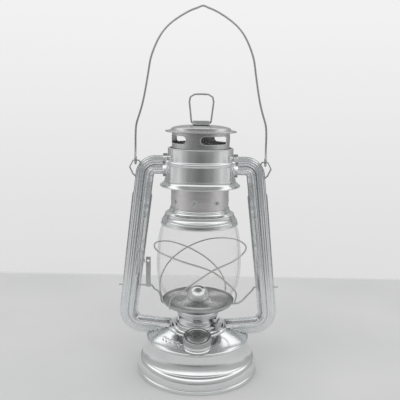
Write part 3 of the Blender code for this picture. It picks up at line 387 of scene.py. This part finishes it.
def buildTank():
    turnedSheet("tank_wall_spun", tank["wall"], "bright", ["tank_wall"], tank["sheet"], 160)
    dome = turnedSheet("tank_dome_pressed", tank["dome"], "bright", ["tank_dome"], tank["sheet"], 160)
    filler = Matrix.Translation(capPlace / mm) @ capTurn
    mouth = bmesh.new()
    bmesh.ops.create_cone(mouth, cap_ends=True, segments=64, radius1=11.4, radius2=11.4, depth=24,
                          matrix=filler @ Matrix.Translation((0, 0, -10)))
    carve(dome, mouth)
    turnedSheet("filler_neck_spun", tank["fillerFlare"], "bright", ["filler_neck"], tank["sheet"], 96, matrix=filler)
    keepNode("tank_floor", "satin")
    return filler


cap = {
    "radius": high("filler_cap").x, "sheet": 0.4, "knurls": 52, "knurlDepth": 0.16,
    "runs": [[(0, 1.0), (3.5, 0.92), (7.0, 0.5), (9.6, -0.5)], [(9.6, -0.5), (10.1, -0.85), (10.6, -0.6)],
             [(10.6, -0.6), (11.4, 0.05), (12.4, 0.0), (13.2, -0.6), (13.4, -1.4)]],
}


def buildCap(filler):
    line = profileLine(cap["runs"], 6)
    skirt = [Vector((cap["radius"] - 0.2, -1.4 - 0.3 * k)) for k in range(1, 11)]
    bm = turned(line + skirt + [Vector((cap["radius"] - 0.3, -4.9))], 5 * cap["knurls"])
    for vert in bm.verts:
        radius = math.hypot(vert.co.x, vert.co.y)
        if -4.6 < vert.co.z < -1.6:
            tooth = math.cos(cap["knurls"] * math.atan2(vert.co.y, vert.co.x))
            scale = 1 + cap["knurlDepth"] * tooth / radius
            vert.co.x, vert.co.y = vert.co.x * scale, vert.co.y * scale
    bmesh.ops.transform(bm, matrix=filler, verts=bm.verts)
    finishPiece("filler_cap_knurled", bm, "cap", ["filler_cap"], cap["sheet"], 40)


# a small ear of wheat pressed into the dome, beside the filler
motif = {"grains": 11, "radius": 39.5, "middle": -39.0, "span": 34.0, "grain": (2.3, 0.9, 0.85)}


def domeHeight(radius):
    share = (shoulder - 2.2 - radius) / 20.3
    return wallTop + 2.35 + 7.6 * share + 1.9 * share * (1 - share)


def buildMotif():
    bm = bmesh.new()
    for k in range(motif["grains"]):
        share = k / (motif["grains"] - 1) - 0.5
        side = 0 if k == motif["grains"] - 1 else (1 if k % 2 else -1)
        azimuth = math.radians(motif["middle"] + motif["span"] * share)
        radius = motif["radius"] + 1.5 * side
        spot = Vector((radius * math.sin(azimuth), -radius * math.cos(azimuth), domeHeight(radius) + 0.1))
        lay = (Matrix.Translation(spot) @ Matrix.Rotation(azimuth, 4, "Z") @ Matrix.Rotation(math.radians(20), 4, "X")
               @ Matrix.Rotation(math.radians(-28 * side), 4, "Z") @ Matrix.Diagonal((*motif["grain"], 1)))
        bmesh.ops.create_uvsphere(bm, u_segments=16, v_segments=10, radius=1.0, matrix=lay)
    finishPiece("dome_wheat_ear", bm, "bright", ["tank_dome"], stands=False)


fillerFrame = buildTank()
buildCap(fillerFrame)
buildMotif()
print("tank built")


# burner

neck, burnerFoot, burnerTop = high("burner_body").x, low("burner_body").z, low("burner_body").z + 17.2
coneRadius, coneFoot, coneTop = high("burner_cone").x, low("burner_cone").z, high("burner_cone").z + 0.2
wheelJoint = joints["wick_turn"]
wickAngle = math.atan2(wheelJoint["axis"][1], wheelJoint["axis"][0])
burner = {
    "body": [[(neck - 3.2, burnerFoot), (neck, burnerFoot)],
             [(neck, burnerFoot), (neck - 0.2, burnerFoot + 3.4), (neck - 1.0, burnerFoot + 6.6),
              (neck - 0.7, burnerFoot + 9.2), (neck, burnerFoot + 10.4)],
             [(neck, burnerFoot + 10.4), (neck - 0.8, burnerFoot + 11.0), (neck, burnerFoot + 11.6)],
             [(neck, burnerFoot + 11.6), (neck + 0.2, burnerFoot + 12.3), (neck, burnerFoot + 13.0)],
             [(neck, burnerFoot + 13.0), (neck - 0.8, burnerFoot + 13.6), (neck, burnerFoot + 14.2)],
             [(neck, burnerFoot + 14.2), (neck - 0.2, burnerFoot + 15.8), (neck - 1.5, burnerTop)],
             [(neck - 1.5, burnerTop), (15.0, burnerTop + 1.4), (coneRadius + 0.6, burnerTop + 2.6)],
             [(coneRadius + 0.6, burnerTop + 2.6), (coneRadius - 0.2, burnerTop + 3.6),
              (coneRadius - 0.2, burnerTop + 6.9)]],
    "cone": [[(coneRadius, coneFoot), (coneRadius - 0.2, coneFoot + 2.2)],
             [(coneRadius - 0.2, coneFoot + 2.2), (coneRadius - 1.2, coneFoot + 6.2),
              (coneRadius - 3.8, coneFoot + 10.2), (coneRadius - 7.6, coneTop - 0.7), (0, coneTop)]],
    "slot": (11.8, 3.3, 4.6),
}


def buildBurner():
    rim, top, foot = high("burner_collar").x, high("burner_collar").z, low("burner_collar").z
    inner = neck + 0.3
    spots = smoothLine([(inner, foot), (rim, foot + 0.2), (rim + 0.1, foot + 1.4), (rim, top - 0.2), (inner + 0.2, top),
                        (inner, foot + 1.4)], 4, closed=True)
    finishPiece("burner_collar_rolled", turned(spots, 96, closed=True), "bright", ["burner_collar"])
    turnedSheet("burner_body_spun", burner["body"], "bright", ["burner_body"], 0.5, 120)
    cone = turnedSheet("burner_cone_drawn", burner["cone"], "bright", ["burner_cone"], 0.5, 96)
    length, width, depth = burner["slot"]
    slot = bmesh.new()
    place = Matrix.Translation((0, 0, coneTop)) @ Matrix.Rotation(wickAngle, 4, "Z")
    bmesh.ops.create_cube(slot, size=1.0, matrix=place @ Matrix.Diagonal((length, width, 2 * depth, 1)))
    carve(cone, slot)
    easedCopy("wick", "cotton", 0.25)
    easedCopy("wick_knob", "satin", 0.3)
    for name, look in (("wick_tube", "satin"), ("wick_shaft", "steel"), ("spur_wheel_inner", "steel"),
                       ("spur_wheel_outer", "steel"), ("filler_gasket", "rubber"), ("spring_seat", "satin")):
        keepNode(name, look)


buildBurner()
print("burner built")


# globe, plate and guard

plateRim, plateTop, plateLow = high("globe_plate").x, high("globe_plate").z, low("globe_plate").z
plate = {
    "rim": [[(plateRim - 0.9, plateTop - 0.7), (plateRim - 0.5, plateTop), (plateRim, plateTop - 0.3),
             (plateRim - 0.2, plateTop - 1.6), (plateRim - 0.9, plateTop - 3.0), (plateRim - 2.6, plateLow + 0.1)],
            [(plateRim - 2.6, plateLow + 0.1), (plateRim - 5.6, plateLow)],
            [(plateRim - 5.6, plateLow), (plateRim - 6.4, plateLow + 1.6), (plateRim - 7.0, plateTop - 1.4)]],
    "ribs": 5, "ribDepth": 0.55, "hole": 12.6, "wall": 0.5,
    "rows": ((25.2, 40), (19.6, 30), (22.4, 36)), "holeRadius": 0.62,
}


def buildPlate():
    line = profileLine(plate["rim"])
    start, steps = line[-1][0] - 0.5, plate["ribs"] * 8
    for k in range(steps + 1):
        radius = start + (plate["hole"] + 0.9 - start) * k / steps
        line.append(Vector((radius, plateTop - 0.9 + plate["ribDepth"] * math.cos(2 * math.pi * k / 8))))
    line.append(Vector((plate["hole"], plateTop - 1.6)))
    piece = finishPiece("globe_plate_ribbed", turned(line, 144), "plate", ["globe_plate"], plate["wall"])
    holes = bmesh.new()
    for radius, count in plate["rows"]:
        for k in range(count):
            spot = Matrix.Rotation(2 * math.pi * (k + 0.5) / count, 4, "Z") @ Matrix.Translation((radius, 0, plateTop))
            bmesh.ops.create_cone(holes, cap_ends=True, segments=10, radius1=plate["holeRadius"],
                                  radius2=plate["holeRadius"], depth=8, matrix=spot)
    carve(piece, holes)


belly, globeFoot, globeTop = high("globe").x, low("globe").z, high("globe").z
globe = {
    "wall": 1.5,
    "runs": [[(belly - 9.5, globeFoot + 0.5), (belly - 9.2, globeFoot + 3), (belly - 8.9, globeFoot + 6),
              (belly - 7.4, globeFoot + 9.8), (belly - 4.6, globeFoot + 14.4), (belly - 2.3, globeFoot + 19.4),
              (belly - 0.6, globeFoot + 28.4), (belly, globeFoot + 39.6), (belly - 0.5, globeFoot + 52),
              (belly - 1.4, globeFoot + 63), (belly - 3.4, globeFoot + 73.6), (belly - 5.3, globeFoot + 79),
              (belly - 6.4, globeTop - 0.2)]],
}


def buildGlobe():
    turnedSheet("globe_blown", globe["runs"], "glass", ["globe"], globe["wall"], 144, 6, smooth=180)
    for name in ("guard_wire_outer", "guard_wire_inner"):
        roundWire(name, 0.75)
    roundWire("lift_wire", 0.9)
    roundWire("lever_catch", 0.55)
    easedCopy("lift_lever", "satin", 0.15)


buildPlate()
buildGlobe()
print("globe, plate and guard built")


# chimney, cap and hood

pipe, pipeFoot, pipeTop = high("inner_chimney").x, low("inner_chimney").z, high("inner_chimney").z
mouth, galleryFoot, galleryTop = high("globe_gallery").x, low("globe_gallery").z, high("globe_gallery").z
step = galleryFoot + 5.1
chimney = {
    "gallery": [[(mouth - 0.8, galleryFoot + 0.1), (mouth - 0.1, galleryFoot + 0.4), (mouth, galleryFoot + 1.1),
                 (mouth - 0.6, galleryFoot + 1.6)],
                [(mouth - 0.6, galleryFoot + 1.6), (mouth - 0.7, galleryFoot + 3.2), (mouth - 0.9, step - 0.8)],
                [(mouth - 0.9, step - 0.8), (mouth - 1.5, step - 0.1), (mouth - 2.4, step + 0.2)],
                [(mouth - 2.4, step + 0.2), (mouth - 2.1, step + 1.0), (mouth - 2.6, step + 1.8)],
                [(mouth - 2.6, step + 1.8), (mouth - 3.4, step + 3.1), (mouth - 3.7, step + 4.5)],
                [(mouth - 3.7, step + 4.5), (mouth - 4.0, step + 5.5), (mouth - 5.1, step + 6.2)],
                [(mouth - 5.1, step + 6.2), (pipe + 2.6, step + 7.0), (pipe + 1.6, step + 8.3)],
                [(pipe + 1.6, step + 8.3), (pipe + 1.5, step + 9.1), (pipe + 1.0, step + 9.7)],
                [(pipe + 1.0, step + 9.7), (pipe + 0.95, galleryTop)]],
    "vents": 8, "ventRadius": 2.3, "ventHeight": pipeFoot + 9.7, "ventTurn": -10.0,
    "slots": 4, "slotSpan": 62.0, "slotHeight": 7.8, "slotFirst": -60.0,
}
band, bandFoot, bandTop = high("cap_band").x, low("cap_band").z, high("cap_band").z
brim, brimFoot, capTop = high("cap_top").x, low("cap_top").z, high("cap_top").z
chimney["band"] = [[(band, bandFoot + 0.1), (band - 0.4, bandFoot + 0.3), (band - 0.5, bandFoot + 1.2)],
                   [(band - 0.5, bandFoot + 1.2), (band - 0.5, bandTop)]]
chimney["slotMiddle"] = bandFoot + 11.3
chimney["top"] = [[(brim - 0.7, brimFoot + 0.1), (brim - 0.1, brimFoot + 0.4), (brim, brimFoot + 0.9),
                   (brim - 0.6, brimFoot + 1.3)],
                  [(brim - 0.6, brimFoot + 1.3), (brim - 2.8, brimFoot + 1.6), (brim - 5.0, brimFoot + 2.2)],
                  [(brim - 5.0, brimFoot + 2.2), (brim - 6.9, capTop - 2.6), (brim - 11.6, capTop - 1.4),
                   (brim - 18.6, capTop - 0.5), (0, capTop)]]


# Rounded slots or round holes through a sheet round the axis: spots are (azimuth, height, half span, half height).
def sideCutters(spots, radius, corner=8):
    bm = bmesh.new()
    for azimuth, height, halfSpan, halfHeight in spots:
        reach = max(radius * math.radians(halfSpan) - halfHeight, 0)
        outline = []
        for side, first in ((1, -90), (-1, 90)):
            for k in range(corner + 1):
                a = math.radians(first + 180 * k / corner)
                outline.append((side * reach + halfHeight * math.cos(a), halfHeight * math.sin(a)))
        if reach == 0:
            outline = outline[:corner] + outline[corner + 1:-1]
        loops = []
        for distance in (radius * 0.72, radius * 1.28):
            turn = [azimuth + along / radius for along, _ in outline]
            loops.append([bm.verts.new((distance * math.cos(a), distance * math.sin(a), height + up))
                          for a, (_, up) in zip(turn, outline)])
        count = len(outline)
        for k in range(count):
            bm.faces.new((loops[0][k], loops[0][(k + 1) % count], loops[1][(k + 1) % count], loops[1][k]))
        bm.faces.new(loops[0])
        bm.faces.new(loops[1])
    return bm


# The turned-out lip round each of those openings.
def sideRims(name, spots, radius, thick, look, nodes, corner=8, sides=8):
    bm = bmesh.new()
    for azimuth, height, halfSpan, halfHeight in spots:
        reach = max(radius * math.radians(halfSpan) - halfHeight, 0)
        path = []
        for side, first in ((1, -90), (-1, 90)):
            for k in range(corner + 1):
                a = math.radians(first + 180 * k / corner)
                path.append((side * reach + halfHeight * math.cos(a), halfHeight * math.sin(a)))
        dense = []
        for k, spot in enumerate(path):
            after = path[(k + 1) % len(path)]
            pieces = max(1, round(math.dist(spot, after) / 2.5))
            dense += [(spot[0] + (after[0] - spot[0]) * i / pieces, spot[1] + (after[1] - spot[1]) * i / pieces)
                      for i in range(pieces) if math.dist(spot, after) > 1e-6]
        rings = []
        for k, (along, up) in enumerate(dense):
            before, after = dense[k - 1], dense[(k + 1) % len(dense)]
            run = Vector((after[0] - before[0], after[1] - before[1])).normalized()
            ring = []
            for i in range(sides):
                a = 2 * math.pi * i / sides
                out, across = thick * math.cos(a), thick * math.sin(a)
                turn = azimuth + (along + run.y * across) / radius
                ring.append(bm.verts.new(((radius + out) * math.cos(turn), (radius + out) * math.sin(turn),
                                          height + up - run.x * across)))
            rings.append(ring)
        for first, second in zip(rings, rings[1:] + rings[:1]):
            for i in range(sides):
                bm.faces.new((first[i], first[(i + 1) % sides], second[(i + 1) % sides], second[i]))
    bmesh.ops.recalc_face_normals(bm, faces=bm.faces)
    return finishPiece(name, bm, look, nodes, smooth=60, stands=False)


def buildChimney():
    turnedSheet("globe_gallery_spun", chimney["gallery"], "bright", ["globe_gallery"], 0.6, 144)
    tube = turnedSheet("inner_chimney_rolled", [[(pipe, pipeFoot), (pipe, pipeTop)]], "brushed", ["inner_chimney"],
                       0.6, 144)
    vents = [(math.radians(chimney["ventTurn"] + 360 * k / chimney["vents"]), chimney["ventHeight"], 0.0,
              chimney["ventRadius"]) for k in range(chimney["vents"])]
    carve(tube, sideCutters(vents, pipe))
    sideRims("vent_rims", vents, pipe - 0.1, 0.5, "bright", ["inner_chimney"])
    slots = [(math.radians(chimney["slotFirst"] + 360 * k / chimney["slots"]), chimney["slotMiddle"],
              chimney["slotSpan"] / 2, chimney["slotHeight"] / 2) for k in range(chimney["slots"])]
    wall = turnedSheet("cap_band_rolled", chimney["band"], "lid", ["cap_band"], 0.6, 144)
    carve(wall, sideCutters(slots, band - 0.5))
    sideRims("cap_slot_rims", slots, band - 0.6, 0.4, "bright", ["cap_band"])
    turnedSheet("cap_top_spun", chimney["top"], "lid", ["cap_top"], 0.6, 144)
    easedCopy("ring_saddle", "satin", 0.2)
    roundWire("cap_ring", 0.85)
    roundWire("chimney_spring", 0.5, "steel")


lowerBarrel, hoodTop, hoodFoot = high("hood_shell").y - 1.1, high("hood_shell").z, low("hood_shell").z
upperBarrel = lowerBarrel - 2.0
skirtRim, skirtFoot, skirtTop = high("hood_skirt").x, low("hood_skirt").z, high("hood_skirt").z
beadMiddle = hoodTop - 14.2
hood = {
    "shell": [[(upperBarrel - 1.9, hoodTop), (upperBarrel - 1.0, hoodTop), (upperBarrel - 0.2, hoodTop - 0.3),
               (upperBarrel, hoodTop - 1.2)],
              [(upperBarrel, hoodTop - 1.2), (upperBarrel, beadMiddle + 2.5)],
              [(upperBarrel, beadMiddle + 2.5), (upperBarrel + 0.8, beadMiddle + 2.2),
               (lowerBarrel + 0.4, beadMiddle + 1.4), (lowerBarrel + 1.0, beadMiddle),
               (lowerBarrel + 0.5, beadMiddle - 1.4), (lowerBarrel, beadMiddle - 1.9)],
              [(lowerBarrel, beadMiddle - 1.9), (lowerBarrel, hoodFoot + 0.7), (lowerBarrel - 0.5, hoodFoot)]],
    "skirt": [[(lowerBarrel + 0.7, skirtTop), (lowerBarrel + 0.8, skirtTop - 1.8), (lowerBarrel + 1.7, skirtTop - 3.5),
               (lowerBarrel + 3.5, skirtTop - 5.0), (skirtRim - 0.7, skirtTop - 6.2)],
              [(skirtRim - 0.7, skirtTop - 6.2), (skirtRim - 0.1, skirtFoot + 1.0), (skirtRim - 0.05, skirtFoot + 0.5),
               (skirtRim - 0.6, skirtFoot + 0.1)]],
}


def buildHood():
    turnedSheet("hood_shell_spun", hood["shell"], "bright", ["hood_shell"], 0.6, 160)
    turnedSheet("hood_skirt_spun", hood["skirt"], "bright", ["hood_skirt"], 0.6, 160)


buildChimney()
buildHood()
print("chimney, cap and hood built")


# side tubes and bail

guardReach = high("guard_wire_outer").x - 0.6
tube = {
    "corners": [(31.4, hoodFoot + 14.9), (guardReach + 5.2, hoodFoot + 14.9), (guardReach + 23.6, 45.9), (27, 41.6)],
    "bend": 14.6, "halfWidth": 9.4, "taper": 0.1, "sheet": 0.5, "columns": 64,
    "seam": 0.65, "seamWidth": 1.7, "seamSlim": 0.45, "notchHeight": 176.0,
    "duct": (-3.2, 4.7, 6.1), "band": (3.4, 4.6, 3.9, 0.28), "crease": 0.8,
    "ribs": ((0.42, 2.1), (0.16, 2.1)),
}


def roundedRoute(corners, radius, arcSteps=26, stride=2.2):
    corners = [Vector((x, 0, z)) for x, z in corners]
    line = [corners[0]]
    for before, corner, after in zip(corners, corners[1:], corners[2:]):
        back, on = before - corner, after - corner
        half = back.angle(on) / 2
        run = min(radius / math.tan(half), 0.45 * back.length, 0.45 * on.length)
        start, end = corner + back.normalized() * run, corner + on.normalized() * run
        centre = corner + (back.normalized() + on.normalized()).normalized() * run / math.cos(half)
        pieces = max(1, round((start - line[-1]).length / stride))
        line += [line[-1].lerp(start, k / pieces) for k in range(1, pieces)] + [start]
        first, last = (start - centre).normalized(), (end - centre).normalized()
        arc = (start - centre).length
        line += [centre + first.slerp(last, k / arcSteps) * arc for k in range(1, arcSteps + 1)]
    pieces = max(1, round((corners[-1] - line[-1]).length / stride))
    return line + [line[-1].lerp(corners[-1], k / pieces) for k in range(1, pieces + 1)]


def easeStep(value, start, end):
    share = min(1.0, max(0.0, (value - start) / (end - start)))
    return share * share * (3 - 2 * share)


# How far a half stands from the middle plane, u millimetres out from the tube's middle line.
def tubeDepth(u, share):
    middle, reach, deep = tube["duct"]
    duct = deep * math.sqrt(max(0.0, 1 - ((u - middle) / reach) ** 2))
    middle, reach, deep, slope = tube["band"]
    outer = (deep - slope * (u - middle)) * math.sqrt(max(0.0, 1 - ((u - middle) / reach) ** 6))
    (strong, pitch), (weak, _) = tube["ribs"]
    amount = strong + (weak - strong) * easeStep(share, 0.12, 0.5)
    ribs = amount * math.cos(2 * math.pi * (u + 3.2) / pitch) * easeStep(7.4 - abs(u), 0.0, 1.2)
    crease = tube["crease"] * math.exp(-((u - 0.1) / 0.4) ** 2)
    return max(duct, outer, tube["seam"]) - crease + (ribs if max(duct, outer) > 2.0 else 0.0)


domeSkin = sorted((point.x, point.y) for point in profileLine(tank["dome"]))


def skinHeight(radius):
    for (r0, z0), (r1, z1) in zip(domeSkin, domeSkin[1:]):
        if r0 <= radius <= r1 and r1 > r0:
            return z0 + (z1 - z0) * (radius - r0) / (r1 - r0)
    return domeSkin[0][1] if radius < domeSkin[0][0] else 0.0


# One line of the tube's face, u out from its middle, which ends where it meets the dome's skin.
def tubeLine(route, u, face):
    top, bottom = tube["corners"][1][1], tube["corners"][2][1]
    flat, line = tube["halfWidth"] - tube["seamWidth"], []
    for row, place in enumerate(route):
        on = (route[min(row + 1, len(route) - 1)] - route[max(row - 1, 0)]).normalized()
        share = min(1.0, max(0.0, (top - place.z) / (top - bottom)))
        slim = 1 + (tube["seamSlim"] - 1) * easeStep(place.z, tube["notchHeight"] - 1, tube["notchHeight"] + 1)
        edge = u if abs(u) < flat else math.copysign(flat + (abs(u) - flat) * slim, u)
        spot = place + Vector((-on.z, 0, on.x)) * edge * (1 + tube["taper"] * (0.3 - share))
        spot.y = face * tubeDepth(u, share)
        if row and place.z < top - 100:
            over = [skinHeight(math.hypot(p.x, p.y)) + 0.1 - p.z for p in (line[-1], spot)]
            if over[1] > 0:
                end = line[-1].lerp(spot, over[0] / (over[0] - over[1])) if over[0] < 0 else line[-1]
                return line + [end] * (len(route) - row)
        line.append(spot)
    return line


def tubeHalf(side, face):
    route = roundedRoute(tube["corners"], tube["bend"])
    bm = bmesh.new()
    rows = []
    for column in range(tube["columns"] + 1):
        u = tube["halfWidth"] * (2 * column / tube["columns"] - 1)
        rows.append([bm.verts.new((side * spot.x, spot.y, spot.z)) for spot in tubeLine(route, u, face)])
    for left, right in zip(rows, rows[1:]):
        for k in range(len(route) - 1):
            bm.faces.new((left[k], left[k + 1], right[k + 1], right[k]))
    bmesh.ops.remove_doubles(bm, verts=bm.verts, dist=1e-3)
    bmesh.ops.recalc_face_normals(bm, faces=bm.faces)
    if sum(made.normal.y * made.calc_area() for made in bm.faces) * face < 0:
        bmesh.ops.reverse_faces(bm, faces=bm.faces)
    return bm


def buildTubes():
    for side, word in ((1, "right"), (-1, "left")):
        for face, end in ((-1, "front"), (1, "rear")):
            name = f"{word}_tube_{end}"
            finishPiece(name + "_pressed", tubeHalf(side, face), "tubes", [name], tube["sheet"], smooth=50)
        easedCopy(f"{word}_hood_collar", "bright", 0.3)
        easedCopy(f"bail_ear_{word}", "satin", 0.2)
    roundWire("bail", 0.95)


buildTubes()
print("tubes and bail built")


# floor, light and camera

light = {
    "left": ((-1.5, -0.9, 1.0), 1.6, 5.0), "right": ((1.5, -0.8, 1.1), 1.5, 5.0), "top": ((0.0, 0.1, 1.9), 1.8, 8.0),
    "ring": ((0.0, 0.17), (0.2, 0.27), (0.31, 0.45), (0.42, 0.7), (0.58, 0.72), (0.72, 0.4), (0.86, 0.3), (1.0, 0.6)),
    "rise": ((0.0, 0.0, 0.4), (0.5, 0.0, 0.4), (0.58, 0.85, 0.42), (0.74, 1.0, 0.5), (0.8, 1.0, 1.2), (0.88, 1.0, 1.2),
             (0.93, 1.0, 0.35), (1.0, 1.0, 0.3)),
    "wallLow": (0.73, 0.73, 0.73), "wallHigh": (0.89, 0.89, 0.89),
    "tableEdge": 0.292, "edgeFade": 0.006,
    "camera": (0.0002, -0.528, 0.265), "pitch": 79.8, "roll": 1.03, "lens": 50.5,
}


def ramp(tree, factor, stops):
    made = node(tree, "ShaderNodeValToRGB", {"Fac": factor})
    made.color_ramp.interpolation = "EASE"
    while len(made.color_ramp.elements) < len(stops):
        made.color_ramp.elements.new(1.0)
    for element, (place, value) in zip(made.color_ramp.elements, stops):
        element.position, element.color = place, (value, value, value, 1)
    return made.outputs["Color"]


# A plain wall behind the lantern. What the metal mirrors is a ring, darker in front and behind than at
# the sides, and a bright strip above it.
def skyLight():
    world = bpy.data.worlds.new("studio")
    bpy.context.scene.world = world
    world.use_nodes = True
    tree = world.node_tree
    plain = tree.nodes["Background"]
    way = node(tree, "ShaderNodeSeparateXYZ", {0: node(tree, "ShaderNodeTexCoord").outputs["Generated"]})
    wall = mixColours(tree, mapRange(tree, way.outputs["Z"], -0.3, 0.15, 0.0, 1.0), (*light["wallLow"], 1),
                      (*light["wallHigh"], 1))
    tree.links.new(wall, plain.inputs["Color"])
    aside = node(tree, "ShaderNodeMath", {0: way.outputs["X"]}, operation="ABSOLUTE")
    ahead = node(tree, "ShaderNodeMath", {0: way.outputs["Y"], 1: -1.0}, operation="MULTIPLY")
    turn = node(tree, "ShaderNodeMath", {0: aside.outputs["Value"], 1: ahead.outputs["Value"]}, operation="ARCTAN2")
    ring = ramp(tree, mapRange(tree, turn.outputs["Value"], 0, math.pi, 0, 1), light["ring"])
    rise = mapRange(tree, way.outputs["Z"], -1.0, 1.0, 0.0, 1.0)
    level = ramp(tree, rise, [(place, value) for place, _, value in light["rise"]])
    share = ramp(tree, rise, [(place, value) for place, value, _ in light["rise"]])
    colour = mixColours(tree, share, ring, level)
    studio = node(tree, "ShaderNodeBackground", {"Color": colour, "Strength": 1.0})
    path = node(tree, "ShaderNodeLightPath")
    seen = node(tree, "ShaderNodeMath", {0: path.outputs["Is Camera Ray"], 1: path.outputs["Is Transmission Ray"]},
                operation="MAXIMUM")
    mix = node(tree, "ShaderNodeMixShader", {0: seen.outputs["Value"], 1: studio.outputs["Background"],
                                             2: plain.outputs["Background"]})
    tree.links.new(mix.outputs["Shader"], tree.nodes["World Output"].inputs["Surface"])


def areaLight(name, place, size, power):
    data = bpy.data.lights.new(name, "AREA")
    data.shape, data.size, data.energy = "SQUARE", size, power
    lamp = bpy.data.objects.new(name, data)
    lamp.location = place
    lamp.visible_glossy = lamp.visible_transmission = False
    lamp.rotation_euler = (Vector((0, 0, 0.15)) - Vector(place)).to_track_quat("-Z", "Y").to_euler()
    bpy.context.scene.collection.objects.link(lamp)


def buildStudio():
    skyLight()
    for name in ("left", "right", "top"):
        areaLight(name + "_light", *light[name])
    bm = bmesh.new()
    bmesh.ops.create_grid(bm, x_segments=2, y_segments=2, size=3.0)
    mesh = bpy.data.meshes.new("floor")
    bm.to_mesh(mesh)
    bm.free()
    mesh.materials.append(paleFloor("pale_floor", light["tableEdge"], light["edgeFade"]))
    floor = bpy.data.objects.new("floor", mesh)
    bpy.context.scene.collection.objects.link(floor)
    camera = bpy.data.objects.new("camera", bpy.data.cameras.new("camera"))
    camera.location = light["camera"]
    camera.rotation_euler = (Matrix.Rotation(math.radians(light["pitch"]), 3, "X")
                             @ Matrix.Rotation(math.radians(light["roll"]), 3, "Z")).to_euler()
    camera.data.lens = light["lens"]
    camera.data.sensor_width = 36
    bpy.context.scene.collection.objects.link(camera)
    bpy.context.scene.camera = camera
    bpy.context.scene.view_settings.view_transform = "Standard"


buildStudio()
print("floor, light and camera made")
